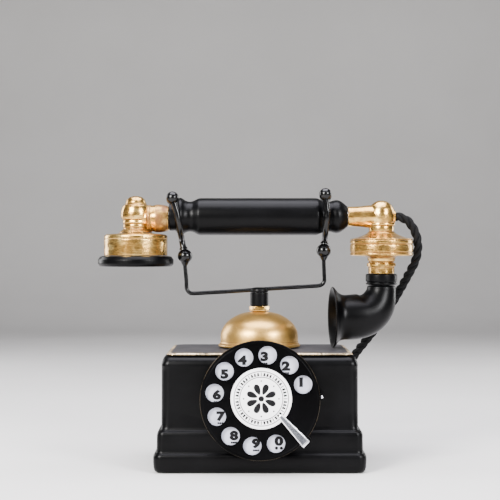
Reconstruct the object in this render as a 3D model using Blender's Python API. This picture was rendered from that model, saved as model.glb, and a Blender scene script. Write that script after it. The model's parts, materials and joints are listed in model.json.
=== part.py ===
"""French-style cradle telephone with a rotary dial, a top bell and a speaking horn.

Frame: +X to the right of a person facing the dial, -Y out of the dial, +Z up, and the
origin at the middle of the felt pad's underside. Lengths below are millimetres; every
mesh is written in metres.
"""

import math

import bmesh
import bpy
from mathutils import Matrix, Vector

MM = 0.001

# Fits
GAP = 0.3                      # between pieces that touch
WALL = 2.6                     # thickness of the cast casing

# Base casing
PLINTH_X, PLINTH_Y = 76.2, 52.5      # half width and half depth of the lower tier
TIER_INSET = 2.4                     # second tier, in from the lower one
BODY_INSET = 5.6                     # upper body, in from the lower tier
CASING_BOTTOM = 0.8
CASING_TOP = 85.2
SHOULDER = 9.5                       # height of the upper body's left and right shoulders
SHOULDER_REACH = 6.8                 # and how far in they come
FELT_THICK = 1.2
PLATE_THICK = 2.0
SCREW_X, SCREW_Y = 63.0, 39.0

# Bell and stem, on the line X = Y = 0
GONG_LIP_Z = 87.0
GONG_TOP_Z = 112.9
STEM_RADIUS = 4.6
POST_RADIUS = 6.8
POST_BOTTOM, POST_TOP = 117.4, 127.0

# Cradle
WIRE_RADIUS = 1.55
LEFT_BALL = (-55.8, 0.0, 154.4)
RIGHT_BALL = (48.3, 0.0, 158.4)
BALL_RADIUS = 5.45
TIP_RADIUS = 4.65
PRONG_RADIUS = 2.25
FORK_RADIUS = 17.2                   # of the fork's round bottom, to the middle of its rod
LEFT_MIDDLE_X, RIGHT_MIDDLE_X = -61.4, 50.8      # of each fork, level with the handset
LEFT_TIP, RIGHT_TIP = (-3.8, 13.5), (-1.2, 16.0)     # X and Z of its tips from there
LEFT_YAW, RIGHT_YAW = math.radians(3.5), math.radians(-3.4)

# Handset
HANDSET_Z = 184.0
GRIP_RADIUS = 13.9
EAR_X = -92.6
MOUTH_X = 91.5
HORN_TURN = math.radians(4.5)        # of the horn about its collar, towards the front

# Dial
DIAL_Z = 53.3
WHEEL_RADIUS = 42.3
HOLE_RADIUS = 6.45
HOLE_CIRCLE = 32.3
FIRST_HOLE = math.radians(20.4)      # of the hole for 1, anticlockwise from +X
HOLE_STEP = math.radians(30.0)
HOLES = 10
WHEEL_FRONT, WHEEL_BACK = -62.0, -60.0
STOP_TIP, STOP_END = (14.4, -10.7), (31.9, -29.9)     # X and Z from the dial's middle
STOP_ANGLE = math.radians(-43.1)
LABEL_RADIUS = 21.5
LABEL_OFFSET = (0.9, 1.5)            # of the label from the wheel's middle
BORE_RADIUS = 28.0                   # of the hole that the dial sits in

# Dial gears: a wheel and a pinion of one module
GEAR_MODULE = 1.0
GEAR_TEETH = 32
PINION_TEETH = 8

# Cord
CORD_RADIUS = 3.5
COIL_CENTRE = (28.0, 101.0)
COIL_RADIUS = 35.0                   # to the middle of the turns
GLAND_X = COIL_CENTRE[0] - COIL_RADIUS - CORD_RADIUS
GROMMET_X = -42.0
GLAND_Z = 8.2


# ---------------------------------------------------------------- materials

def material(name, colour, roughness, metallic):
    made = bpy.data.materials.new(name)
    made.use_nodes = True
    shader = made.node_tree.nodes["Principled BSDF"]
    shader.inputs["Base Color"].default_value = (*colour, 1.0)
    shader.inputs["Roughness"].default_value = roughness
    shader.inputs["Metallic"].default_value = metallic
    made.diffuse_color = (*colour, 1.0)
    return made


def make_materials():
    return {
        "enamel": material("black_enamel", (0.020, 0.021, 0.023), 0.42, 0.0),
        "gloss": material("gloss_black", (0.010, 0.010, 0.012), 0.18, 0.0),
        "gold": material("satin_gold", (0.80, 0.58, 0.30), 0.36, 1.0),
        "steel": material("steel", (0.60, 0.60, 0.62), 0.28, 1.0),
        "brass": material("brass", (0.72, 0.52, 0.25), 0.35, 1.0),
        "plate": material("white_enamel", (0.78, 0.78, 0.84), 0.30, 0.0),
        "card": material("card", (0.86, 0.85, 0.85), 0.70, 0.0),
        "felt": material("felt", (0.05, 0.09, 0.06), 0.95, 0.0),
        "cloth": material("cord_cloth", (0.018, 0.018, 0.019), 0.90, 0.0),
        "copper": material("copper_winding", (0.55, 0.24, 0.12), 0.40, 1.0),
        "board": material("brown_board", (0.22, 0.10, 0.05), 0.60, 0.0),
        "rubber": material("rubber", (0.03, 0.03, 0.03), 0.75, 0.0),
    }


# ---------------------------------------------------------------- shape tools

def mesh_object(name, bm, mat):
    """Turn a closed bmesh in millimetres into an object, faces pointing out."""
    bmesh.ops.recalc_face_normals(bm, faces=bm.faces)
    if bm.calc_volume(signed=True) < 0:
        bmesh.ops.reverse_faces(bm, faces=bm.faces)
    bmesh.ops.scale(bm, vec=(MM, MM, MM), verts=bm.verts)
    mesh = bpy.data.meshes.new(name)
    bm.to_mesh(mesh)
    bm.free()
    mesh.materials.append(mat)
    mesh.shade_smooth()
    mesh.set_sharp_from_angle(angle=math.radians(38.0))
    made = bpy.data.objects.new(name, mesh)
    bpy.context.scene.collection.objects.link(made)
    return made


def add_loft(bm, rings, closed=False):
    """Bridge rings of points. Ends are capped, or joined to each other when closed."""
    rows = [[bm.verts.new(point) for point in ring] for ring in rings]
    count = len(rows[0])
    pairs = list(zip(rows, rows[1:])) + ([(rows[-1], rows[0])] if closed else [])
    for low, high in pairs:
        for i in range(count):
            j = (i + 1) % count
            bm.faces.new((low[i], low[j], high[j], high[i]))
    if not closed:
        bm.faces.new(rows[0])
        bm.faces.new(rows[-1])


def turned_rings(profile, centre, axis, segments):
    """Rings of a shape turned about an axis, from (radius, distance along the axis)."""
    rings = []
    for radius, along in profile:
        ring = []
        for i in range(segments):
            angle = math.tau * i / segments
            across, up = radius * math.cos(angle), radius * math.sin(angle)
            offset = {"X": (along, across, up), "Y": (across, along, up),
                      "Z": (across, up, along)}[axis]
            ring.append(Vector(centre) + Vector(offset))
        rings.append(ring)
    return rings


def turned(name, profile, mat, centre=(0, 0, 0), axis="Z", segments=28, ring=False):
    """A turned piece. A ring's profile is a closed outline that stays off the axis."""
    bm = bmesh.new()
    add_loft(bm, turned_rings(profile, centre, axis, segments), closed=ring)
    return mesh_object(name, bm, mat)


def tube_profile(inner, outer, start, end):
    return [(inner, start), (outer, start), (outer, end), (inner, end)]


def rod_profile(radius, start, end):
    return [(radius, start), (radius, end)]


def box_mesh(bm, low, high):
    size = [b - a for a, b in zip(low, high)]
    middle = [(a + b) / 2 for a, b in zip(low, high)]
    shape = Matrix.Translation(middle) @ Matrix.Diagonal((*size, 1.0))
    bmesh.ops.create_cube(bm, size=1.0, matrix=shape)


def box(name, low, high, mat):
    bm = bmesh.new()
    box_mesh(bm, low, high)
    return mesh_object(name, bm, mat)


def add_turned(bm, profile, centre, axis, segments, ring=False):
    add_loft(bm, turned_rings(profile, centre, axis, segments), closed=ring)


def operand(name, bm):
    """A solid that only cuts or joins another piece."""
    made = mesh_object(name, bm, bpy.data.materials["steel"])
    made.display_type = "WIRE"
    made.hide_render = True
    return made


def combine(target, tool, operation):
    change = target.modifiers.new(tool.name, "BOOLEAN")
    change.operation = operation
    change.object = tool


def arc(centre, radius, start, end, steps):
    """Points of a circular arc, both ends included, angles in degrees."""
    points = []
    for i in range(steps + 1):
        angle = math.radians(start + (end - start) * i / steps)
        points.append((centre[0] + radius * math.cos(angle), centre[1] + radius * math.sin(angle)))
    return points


def rounded_rectangle(half_x, half_y, radius, z, steps=2):
    corners = ((1, 1, 0), (-1, 1, 90), (-1, -1, 180), (1, -1, 270))
    points = []
    for side_x, side_y, start in corners:
        middle = (side_x * (half_x - radius), side_y * (half_y - radius))
        points += [Vector((x, y, z)) for x, y in arc(middle, radius, start, start + 90, steps)]
    return points


def smooth_route(points, spacing):
    """Points of a smooth curve through the given ones, about one spacing apart."""
    given = [Vector(p) for p in points]
    ends = [2 * given[0] - given[1]] + given + [2 * given[-1] - given[-2]]
    route = [given[0]]
    for a, b, c, d in zip(ends, ends[1:], ends[2:], ends[3:]):
        steps = max(1, round((c - b).length / spacing))
        for i in range(1, steps + 1):
            t = i / steps
            route.append(0.5 * (2 * b + (c - a) * t + (2 * a - 5 * b + 4 * c - d) * t ** 2
                                + (3 * b - a - 3 * c + d) * t ** 3))
    return route


def swept_rings(path, radii, sides):
    """Round rings square to a path, without twist between neighbours."""
    tangents = []
    for i in range(len(path)):
        before, after = path[max(i - 1, 0)], path[min(i + 1, len(path) - 1)]
        tangents.append((after - before).normalized())
    side = tangents[0].orthogonal().normalized()
    rings = []
    for point, tangent, radius in zip(path, tangents, radii):
        side = (side - tangent * side.dot(tangent)).normalized()
        up = tangent.cross(side)
        rings.append([point + radius * (math.cos(math.tau * i / sides) * side
                                        + math.sin(math.tau * i / sides) * up)
                      for i in range(sides)])
    return rings


def swept(name, path, radius, mat, sides=8):
    bm = bmesh.new()
    add_loft(bm, swept_rings(path, [radius] * len(path), sides))
    return mesh_object(name, bm, mat)


def cord_tube(name, route, mat):
    """A plain round tube along a cord's route."""
    curve = bpy.data.curves.new(name, "CURVE")
    curve.dimensions = "3D"
    curve.bevel_depth = CORD_RADIUS * MM
    curve.bevel_resolution = 2
    curve.use_fill_caps = True
    points = smooth_route(route, 2.5 * 2 * CORD_RADIUS)
    spline = curve.splines.new("POLY")
    spline.points.add(len(points) - 1)
    for slot, point in zip(spline.points, points):
        slot.co = (*(point * MM), 1.0)
    curve.materials.append(mat)
    made = bpy.data.objects.new(name, curve)
    bpy.context.scene.collection.objects.link(made)
    return made


def joint_empty(name, place):
    made = bpy.data.objects.new(name, None)
    made.location = Vector(place) * MM
    made.empty_display_size = 10 * MM
    bpy.context.scene.collection.objects.link(made)
    return made


def hang(empty, pieces):
    """Parent pieces to an empty on their joint's axis, without moving them."""
    for piece in pieces:
        piece.data.transform(Matrix.Translation(-empty.location))
        piece.parent = empty


# ---------------------------------------------------------------- base

def casing_outer_rings():
    tier, body = TIER_INSET, BODY_INSET
    tiers = ((0.8, 1.9, 5.0), (2.6, 0.7, 6.0), (6.0, 0.2, 6.0), (11.8, 0.0, 6.0),
             (13.8, 0.4, 6.0), (15.2, 2.6, 5.0), (16.6, tier, 5.0), (27.6, tier + 0.2, 5.0),
             (29.8, tier + 0.9, 4.5), (31.0, body - 0.7, 4.0), (33.4, body, 4.0),
             (CASING_TOP - SHOULDER - 0.2, body + 0.9, 4.0))
    rings = [rounded_rectangle(PLINTH_X - inset, PLINTH_Y - inset, radius, z)
             for z, inset, radius in tiers]
    shoulder_x, face_y = PLINTH_X - body - 1.0, PLINTH_Y - body - 1.0
    for across, up in arc((0, 0), 1.0, 12, 84, 5):
        edge = max(0.0, up - 0.75)
        rings.append(rounded_rectangle(shoulder_x - SHOULDER_REACH * (1 - across), face_y - 10 * edge,
                                       3.0, CASING_TOP - SHOULDER * (1 - up)))
    crown = ((0.80, 0.40), (0.55, 0.75), (0.20, 0.95))
    top_x = shoulder_x - SHOULDER_REACH
    for share, rise in crown:
        rings.append(rounded_rectangle(top_x * share, (face_y - 2) * share, 3.0, CASING_TOP + rise))
    return rings


def casing_inner_rings():
    tier, body = TIER_INSET + WALL, BODY_INSET + WALL
    rows = ((CASING_BOTTOM, 3.7, 4.0), (12.0, 3.2, 4.0), (15.0, tier, 3.0), (28.4, tier, 3.0),
            (31.4, body, 2.5), (CASING_TOP - SHOULDER, body + 0.6, 2.5))
    rings = [rounded_rectangle(PLINTH_X - inset, PLINTH_Y - inset, radius, z)
             for z, inset, radius in rows]
    shoulder_x, face_y = PLINTH_X - body - 0.8, PLINTH_Y - body - 0.8
    for across, up in arc((0, 0), 1.0, 20, 90, 3):
        rings.append(rounded_rectangle(shoulder_x - SHOULDER_REACH * (1 - across), face_y, 2.5,
                                       CASING_TOP - WALL - (SHOULDER - WALL) * (1 - up)))
    return rings


def casing_additions():
    bm = bmesh.new()
    add_turned(bm, rod_profile(31.5, -53.0, -43.6), (0, 0, DIAL_Z), "Y", 28)
    for side_x in (-1, 1):
        for side_y in (-1, 1):
            corner = ((side_x * 57.0, side_y * 33.0), (side_x * 74.6, side_y * 50.8))
            xs, ys = sorted(c[0] for c in corner), sorted(c[1] for c in corner)
            box_mesh(bm, (xs[0], ys[0], 3.9), (xs[1], ys[1], 14.0))
    return operand("casing_additions", bm)


def casing_cutters():
    bm = bmesh.new()
    add_turned(bm, rod_profile(BORE_RADIUS, -60.0, -40.0), (0, 0, DIAL_Z), "Y", 28)
    add_turned(bm, rod_profile(STEM_RADIUS + GAP, 70.0, 92.0), (0, 0, 0), "Z", 14)
    box_mesh(bm, (14.0, 9.6, 76.0), (24.0, 14.4, 92.0))
    add_turned(bm, rod_profile(4.6, 40.0, 60.0), (GLAND_X, 0, GLAND_Z), "Y", 12)
    add_turned(bm, rod_profile(4.6, 40.0, 60.0), (GROMMET_X, 0, GLAND_Z), "Y", 12)
    for x, y in screw_places():
        add_turned(bm, rod_profile(1.8, 3.0, 12.0), (x, y, 0), "Z", 8)
    return operand("casing_cutters", bm)


def screw_places():
    return [(x, y) for x in (-SCREW_X, SCREW_X) for y in (-SCREW_Y, SCREW_Y)]


def make_casing(mats):
    bm = bmesh.new()
    add_loft(bm, casing_inner_rings()[::-1] + casing_outer_rings())
    casing = mesh_object("base_casing", bm, mats["enamel"])
    combine(casing, casing_additions(), "UNION")
    combine(casing, casing_cutters(), "DIFFERENCE")
    return casing


def make_base_plate(mats):
    low = FELT_THICK + GAP
    bm = bmesh.new()
    add_loft(bm, [rounded_rectangle(72.0, 48.3, 3.5, z) for z in (low, low + PLATE_THICK)])
    plate = mesh_object("base_plate", bm, mats["steel"])
    cutters = bmesh.new()
    for x, y in screw_places():
        steps = [(3.6, 0.0), (3.6, low + 1.1), (1.8, low + 1.1), (1.8, 6.0)]
        add_turned(cutters, steps, (x, y, 0), "Z", 8)
    combine(plate, operand("plate_cutters", cutters), "DIFFERENCE")


def make_felt(mats):
    bm = bmesh.new()
    add_loft(bm, [rounded_rectangle(71.0, 47.4, 3.5, z) for z in (0.0, FELT_THICK)])
    mesh_object("felt_pad", bm, mats["felt"])


def make_base_screws(mats):
    low = FELT_THICK + GAP
    for number, (x, y) in enumerate(screw_places(), 1):
        profile = [(3.2, low), (3.2, low + 0.8), (1.4, low + 0.8), (1.4, 11.5)]
        turned(f"base_screw_{number}", profile, mats["steel"], (x, y, 0), segments=8)


def make_cord_inlets(mats):
    back = PLINTH_Y
    profile = [(3.9, back - 5.0), (4.3, back - 5.0), (4.3, back + GAP), (6.0, back + GAP),
               (5.6, back + 2.2), (4.6, back + 5.0), (3.9, back + 5.0)]
    turned("base_cord_gland", profile, mats["brass"], (GLAND_X, 0, GLAND_Z), "Y", 16, True)
    profile = [(2.6, back - 5.0), (4.3, back - 5.0), (4.3, back + GAP), (5.6, back + GAP),
               (5.2, back + 2.0), (2.6, back + 2.0)]
    turned("line_grommet", profile, mats["rubber"], (GROMMET_X, 0, GLAND_Z), "Y", 12, True)


# ---------------------------------------------------------------- bell and stem

def make_gong(mats):
    top, lip, wall = GONG_TOP_Z, GONG_LIP_Z, 1.7
    radii = (29.0, 28.4, 26.7, 24.6, 21.9, 18.0, 14.0, 9.0, STEM_RADIUS + GAP)
    heights = (94.5, 98.2, 101.8, 104.6, 107.0, 109.4, 111.2, 112.4, top)
    dome = list(zip(radii, heights))
    outer = [(30.4, lip), (30.7, lip + 1.0), (29.7, lip + 2.0), (29.0, lip + 3.2)] + dome
    inner = [(STEM_RADIUS + GAP, top - wall), (9.0, top - wall - 0.4), (17.0, 107.9),
             (22.6, 104.2), (25.6, 100.6), (27.2, 96.0), (27.2, lip + 3.0), (29.0, lip)]
    turned("bell_gong", outer + inner, mats["gold"], segments=32, ring=True)


def hexagon_rings(radius, bore, low, high, chamfer):
    rings = []
    for size, z in ((bore, low), (radius, low), (radius, high - chamfer),
                    (radius - chamfer, high), (bore, high)):
        rings.append([Vector((size * math.cos(math.tau * i / 6), size * math.sin(math.tau * i / 6), z))
                      for i in range(6)])
    return rings


def make_nuts(mats):
    for name, radius, low, high, mat in (
            ("bell_nut", 7.3, GONG_TOP_Z + GAP, POST_BOTTOM - GAP, "gold"),
            ("stem_lock_nut", 8.2, 78.2, 82.2, "brass")):
        bm = bmesh.new()
        add_loft(bm, hexagon_rings(radius, 5.8, low, high, 0.5), closed=True)
        mesh_object(name, bm, mats[mat])


def make_stem(mats):
    turned("gong_spacer", tube_profile(STEM_RADIUS + GAP, 7.0, 86.6, GONG_TOP_Z - 2.1),
           mats["steel"], segments=20, ring=True)
    profile = [(3.2, 66.0), (STEM_RADIUS, 66.0), (STEM_RADIUS, POST_BOTTOM),
               (POST_RADIUS, POST_BOTTOM), (POST_RADIUS, POST_TOP), (3.2, POST_TOP)]
    turned("stem_sleeve", profile, mats["enamel"], segments=20, ring=True)


# ---------------------------------------------------------------- hook switch

SHELF_LOW, SHELF_HIGH = 46.0, 47.7
COLLAR_LOW, COLLAR_HIGH = 58.5, 60.0
LEVER_PIVOT = (-22.0, 37.5)          # X and Z of the hook lever's pin


def make_plunger(mats):
    profile = [(2.9, 40.6), (2.9, COLLAR_LOW), (6.0, COLLAR_LOW), (6.0, COLLAR_HIGH),
               (2.9, COLLAR_HIGH), (2.9, 129.4)]
    return turned("plunger_rod", profile, mats["steel"], segments=16)


def make_plunger_spring(mats):
    wire, turns, steps = 0.6, 4, 10
    low, high = SHELF_HIGH + GAP + wire, COLLAR_LOW - GAP - wire
    path = []
    for i in range(turns * steps + 1):
        angle = math.tau * i / steps
        path.append(Vector((4.6 * math.cos(angle), 4.6 * math.sin(angle),
                            low + (high - low) * i / (turns * steps))))
    swept("plunger_spring", path, wire, mats["steel"], sides=6)


def make_plunger_bracket(mats):
    bracket = box("plunger_bracket", (-36.0, -8.0, SHELF_LOW), (9.0, 8.0, SHELF_HIGH), mats["steel"])
    bm = bmesh.new()
    box_mesh(bm, (-36.0, -6.0, 3.8), (-34.2, 6.0, SHELF_HIGH - 0.4))
    combine(bracket, operand("bracket_leg", bm), "UNION")
    bm = bmesh.new()
    for low, high in ((-7.4, -5.8), (5.8, 7.4)):
        box_mesh(bm, (-26.0, low, 34.0), (-18.0, high, SHELF_HIGH - 0.4))
    combine(bracket, operand("bracket_ears", bm), "UNION")
    bm = bmesh.new()
    add_turned(bm, rod_profile(1.4, -6.6, 6.6), (LEVER_PIVOT[0], 0, LEVER_PIVOT[1]), "Y", 10)
    combine(bracket, operand("lever_pin", bm), "UNION")
    bm = bmesh.new()
    add_turned(bm, rod_profile(3.2, 40.0, 52.0), (0, 0, 0), "Z", 16)
    combine(bracket, operand("bracket_bore", bm), "DIFFERENCE")


def make_hook_lever(mats):
    lever = box("hook_lever", (-27.0, -5.0, 35.2), (4.0, 5.0, 38.6), mats["brass"])
    bm = bmesh.new()
    add_turned(bm, rod_profile(2.0, 37.0, 40.3), (0, 0, 0), "Z", 12)
    combine(lever, operand("lever_nose", bm), "UNION")
    bm = bmesh.new()
    add_turned(bm, rod_profile(1.7, -9.0, 9.0), (LEVER_PIVOT[0], 0, LEVER_PIVOT[1]), "Y", 10)
    box_mesh(bm, (-15.0, -9.0, 30.0), (9.0, 9.0, 36.6))
    combine(lever, operand("lever_cutters", bm), "DIFFERENCE")
    return lever


def make_contacts(mats):
    block = box("contact_block", (-33.4, -5.0, 3.8), (-26.0, 5.0, 26.0), mats["board"])
    bm = bmesh.new()
    box_mesh(bm, (-33.4, -5.0, 20.0), (-30.4, 5.0, 29.0))
    combine(block, operand("contact_step", bm), "UNION")
    box("contact_leaf", (-33.4, -2.5, 29.3), (-12.0, 2.5, 29.8), mats["brass"])


# ---------------------------------------------------------------- ringer

PIVOT = (20.0, 27.0, 52.0)           # of the armature and the clapper
CLAPPER_BALL = (19.0, 12.0, 93.5)


def make_ringer_yoke(mats):
    yoke = box("ringer_yoke", (3.0, 31.8, 3.8), (37.0, 33.8, 58.0), mats["steel"])
    bm = bmesh.new()
    box_mesh(bm, (3.0, 19.0, 17.0), (37.0, 32.8, 19.4))
    combine(yoke, operand("yoke_shelf", bm), "UNION")
    bm = bmesh.new()
    add_turned(bm, rod_profile(1.3, 20.0, 32.6), (PIVOT[0], 0, PIVOT[2]), "Y", 10)
    combine(yoke, operand("armature_pin", bm), "UNION")


def make_ringer_coils(mats):
    for name, x in (("ringer_coil_left", 10.5), ("ringer_coil_right", 29.5)):
        profile = [(6.8, 19.7), (6.8, 21.2), (5.8, 21.2), (5.8, 44.0), (6.8, 44.0),
                   (6.8, 45.5), (2.5, 45.5), (2.5, 48.0)]
        turned(name, profile, mats["copper"], (x, 24.8, 0), segments=16)


def make_armature(mats):
    armature = box("ringer_armature", (6.0, 21.0, 50.0), (34.0, 30.4, 54.0), mats["steel"])
    bm = bmesh.new()
    add_turned(bm, rod_profile(1.6, 15.0, 35.0), (PIVOT[0], 0, PIVOT[2]), "Y", 10)
    combine(armature, operand("armature_bore", bm), "DIFFERENCE")
    ball = Vector(CLAPPER_BALL)
    rod = smooth_route([(20.0, 23.5, 54.3), (19.8, 22.0, 58.0), (19.3, 15.5, 66.0),
                        (19.0, 12.2, 74.0), (19.0, 12.0, 82.0), tuple(ball)], 6.0)
    clapper = swept("clapper", rod, 0.9, mats["steel"])
    bm = bmesh.new()
    bmesh.ops.create_uvsphere(bm, u_segments=10, v_segments=6, radius=2.5,
                              matrix=Matrix.Translation(ball))
    combine(clapper, operand("clapper_ball", bm), "UNION")
    return armature, clapper


# ---------------------------------------------------------------- electrical pieces

def make_electrical(mats):
    block = box("terminal_block", (-60.0, -6.0, 3.8), (-42.0, 22.0, 12.0), mats["board"])
    bm = bmesh.new()
    for row in range(4):
        add_turned(bm, rod_profile(2.2, 10.0, 14.0), (-51.0, -2.0 + 6.6 * row, 0), "Z", 8)
    combine(block, operand("terminal_heads", bm), "UNION")
    profile = [(9.0, -24.0), (9.0, -22.0), (7.2, -22.0), (7.2, 8.0), (9.0, 8.0), (9.0, 10.0)]
    turned("induction_coil", profile, mats["copper"], (52.0, 0.0, 13.2), "Y", 16)


# ---------------------------------------------------------------- dial

def make_dial_cup(mats):
    front, back = -58.2, -53.0 - GAP
    profile = [(4.5, front), (41.2, front), (41.6, front + 0.5), (41.6, back - 0.4), (41.2, back),
               (27.6, back), (27.6, -38.0), (25.6, -38.0), (25.6, -56.2), (4.5, -56.2)]
    cup = turned("dial_cup", profile, mats["enamel"], (0, 0, DIAL_Z), "Y", 36, True)
    for number, (angle, width) in enumerate(((STOP_ANGLE, 9.0), (math.radians(2.7), 4.6)), 1):
        bm = bmesh.new()
        box_mesh(bm, (36.0, -57.2, -width / 2), (45.4, -53.6, width / 2))
        turn = Matrix.Translation((0, 0, DIAL_Z)) @ Matrix.Rotation(-angle, 4, "Y")
        bmesh.ops.transform(bm, matrix=turn, verts=bm.verts)
        combine(cup, operand(f"cup_lug_{number}", bm), "UNION")


def make_dial_fixings(mats):
    turned("dial_lock_ring", tube_profile(27.9, 28.9, -42.8, -39.8), mats["steel"],
           (0, 0, DIAL_Z), "Y", 24, True)
    angle = math.radians(2.7)
    place = (43.6 * math.cos(angle), 0, DIAL_Z + 43.6 * math.sin(angle))
    profile = [(1.4, -57.2 - GAP), (1.4, -58.3), (0.7, -58.9)]
    turned("dial_rim_screw", profile, mats["steel"], place, "Y", 14)


def make_number_plate(mats):
    profile = tube_profile(5.0, 41.0, -59.4, -58.5)
    turned("number_plate", profile, mats["plate"], (0, 0, DIAL_Z), "Y", 32, True)


def make_finger_wheel(mats):
    r, f, b = WHEEL_RADIUS, WHEEL_FRONT, WHEEL_BACK
    profile = [(3.3, b), (r - 0.4, b), (r, b - 0.5), (r, f + 0.6), (r - 0.6, f), (3.3, f)]
    wheel = turned("finger_wheel", profile, mats["enamel"], (0, 0, DIAL_Z), "Y", 40, True)
    bm = bmesh.new()
    for number in range(HOLES):
        angle = FIRST_HOLE + number * HOLE_STEP
        place = (HOLE_CIRCLE * math.cos(angle), 0, DIAL_Z + HOLE_CIRCLE * math.sin(angle))
        add_turned(bm, rod_profile(HOLE_RADIUS, f - 3, b + 3), place, "Y", 12)
    combine(wheel, operand("finger_holes", bm), "DIFFERENCE")
    return wheel


def make_label(mats):
    front = WHEEL_FRONT - GAP
    profile = [(LABEL_RADIUS, front), (LABEL_RADIUS, front - 0.6), (LABEL_RADIUS - 0.3, front - 0.8)]
    place = (LABEL_OFFSET[0], 0, DIAL_Z + LABEL_OFFSET[1])
    return turned("label_card", profile, mats["card"], place, "Y", 28)


def make_dial_shaft(mats):
    profile = rod_profile(3.0, WHEEL_FRONT + 0.2, -30.0)
    return turned("dial_shaft", profile, mats["steel"], (0, 0, DIAL_Z), "Y", 12)


def gear_outline(teeth, module):
    """Slim straight-sided teeth, as (radius, angle) points in order."""
    pitch = module * teeth / 2
    root, tip = pitch - 1.2 * module, pitch + 0.7 * module
    step = math.tau / teeth
    outline = []
    for tooth in range(teeth):
        middle = tooth * step
        outline += [(root, middle - 0.27 * step), (tip, middle - 0.11 * step),
                    (tip, middle + 0.11 * step), (root, middle + 0.27 * step)]
    return outline


def gear_rings(teeth, module, centre, front, back, phase):
    rings = []
    for y in (front, back):
        rings.append([Vector((centre[0] + r * math.cos(a + phase), y, centre[1] + r * math.sin(a + phase)))
                      for r, a in gear_outline(teeth, module)])
    return rings


GEAR_FRONT, GEAR_BACK = -35.4, -33.4
GOVERNOR_Z = DIAL_Z + GEAR_MODULE * (GEAR_TEETH + PINION_TEETH) / 2


def make_drive_gear(mats):
    bm = bmesh.new()
    add_loft(bm, gear_rings(GEAR_TEETH, GEAR_MODULE, (0, DIAL_Z), GEAR_FRONT, GEAR_BACK, 0.0))
    gear = mesh_object("drive_gear", bm, mats["brass"])
    bm = bmesh.new()
    add_turned(bm, rod_profile(3.0 + GAP, -40.0, -28.0), (0, 0, DIAL_Z), "Y", 16)
    combine(gear, operand("gear_bore", bm), "DIFFERENCE")
    return gear


def make_governor(mats):
    half_tooth = math.pi / PINION_TEETH
    bm = bmesh.new()
    add_loft(bm, gear_rings(PINION_TEETH, GEAR_MODULE, (0, GOVERNOR_Z), GEAR_FRONT - 0.2,
                            GEAR_BACK + 0.2, math.pi / 2 + half_tooth))
    governor = mesh_object("governor", bm, mats["brass"])
    bm = bmesh.new()
    add_turned(bm, rod_profile(1.0, -37.4, -24.0), (0, 0, GOVERNOR_Z), "Y", 10)
    combine(governor, operand("governor_shaft", bm), "UNION")
    bm = bmesh.new()
    box_mesh(bm, (-7.5, -28.0, GOVERNOR_Z - 1.6), (7.5, -25.5, GOVERNOR_Z + 1.6))
    combine(governor, operand("governor_weights", bm), "UNION")
    return governor


def make_dial_frame(mats):
    plate = turned("dial_frame", tube_profile(3.0 + GAP, 27.0, -37.7, -36.2), mats["brass"],
                   (0, 0, DIAL_Z), "Y", 20, True)
    bm = bmesh.new()
    add_turned(bm, rod_profile(1.3, -40.0, -34.0), (0, 0, GOVERNOR_Z), "Y", 10)
    combine(plate, operand("frame_bore", bm), "DIFFERENCE")
    turned("spring_barrel", tube_profile(3.0 + GAP, 17.0, -50.0, -41.0), mats["brass"],
           (0, 0, DIAL_Z), "Y", 16, True)


def make_finger_stop(mats):
    """A tapered blade over the wheel, with a leg outside the wheel's rim."""
    tip, end = (Vector((x, 0, z)) for x, z in (STOP_TIP, STOP_END))
    along = (end - tip).normalized()
    across = Vector((-along.z, 0, along.x))
    outline = [tip - across * 1.7, tip - along * 0.9 - across * 0.8, tip - along * 0.9 + across * 0.8,
               tip + across * 1.7, end + across * 3.2, end - across * 3.2]
    bm = bmesh.new()
    lift = Vector((0, 0, DIAL_Z))
    add_loft(bm, [[p + lift + Vector((0, y, 0)) for p in outline] for y in (-64.7, -63.5)])
    stop = mesh_object("finger_stop", bm, mats["steel"])
    bm = bmesh.new()
    box_mesh(bm, (43.0, -64.3, -3.0), (44.6, -57.2 - GAP, 3.0))
    turn = Matrix.Translation(lift) @ Matrix.Rotation(-STOP_ANGLE, 4, "Y")
    bmesh.ops.transform(bm, matrix=turn, verts=bm.verts)
    combine(stop, operand("stop_leg", bm), "UNION")


# ---------------------------------------------------------------- cradle

CONE_HEIGHT = 1.8                    # under each ball, where the wire ends
WIRE_BENDS = ((-54.6, 131.6), (-54.2, 129.2), (-52.6, 127.1), (-49.6, 126.4), (0.0, 129.4),
              (44.0, 132.1), (46.8, 133.0), (48.5, 135.0), (48.8, 137.6))


def make_crossbar(mats):
    """The bent wire between the two balls, with the cap that sits on the post."""
    left, right = Vector(LEFT_BALL), Vector(RIGHT_BALL)
    drop = Vector((0, 0, -BALL_RADIUS - CONE_HEIGHT - GAP))
    path = [left + drop, right + drop]
    path[1:1] = [Vector((x, 0, z)) for x, z in WIRE_BENDS]
    bar = swept("cradle_crossbar", path, WIRE_RADIUS, mats["gloss"], sides=6)
    bm = bmesh.new()
    low = POST_TOP + GAP
    profile = [(6.6, low), (6.6, low + 1.6), (5.6, low + 2.9), (3.4, low + 3.8)]
    add_turned(bm, profile, (0, 0, 0), "Z", 16)
    combine(bar, operand("crossbar_cap", bm), "UNION")
    bm = bmesh.new()
    add_turned(bm, rod_profile(3.2, 120.0, 129.7), (0, 0, 0), "Z", 16)
    combine(bar, operand("cap_socket", bm), "DIFFERENCE")
    return bar


def make_ball(name, centre, mats):
    """A ball with a small cone under it, where the wire ends."""
    profile = [(1.8, -BALL_RADIUS - CONE_HEIGHT), (3.0, -BALL_RADIUS + 0.4)]
    for i in range(2, 8):
        angle = math.pi * i / 8
        profile.append((BALL_RADIUS * math.sin(angle), -BALL_RADIUS * math.cos(angle)))
    return turned(name, profile, mats["gloss"], centre, segments=16)


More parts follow.
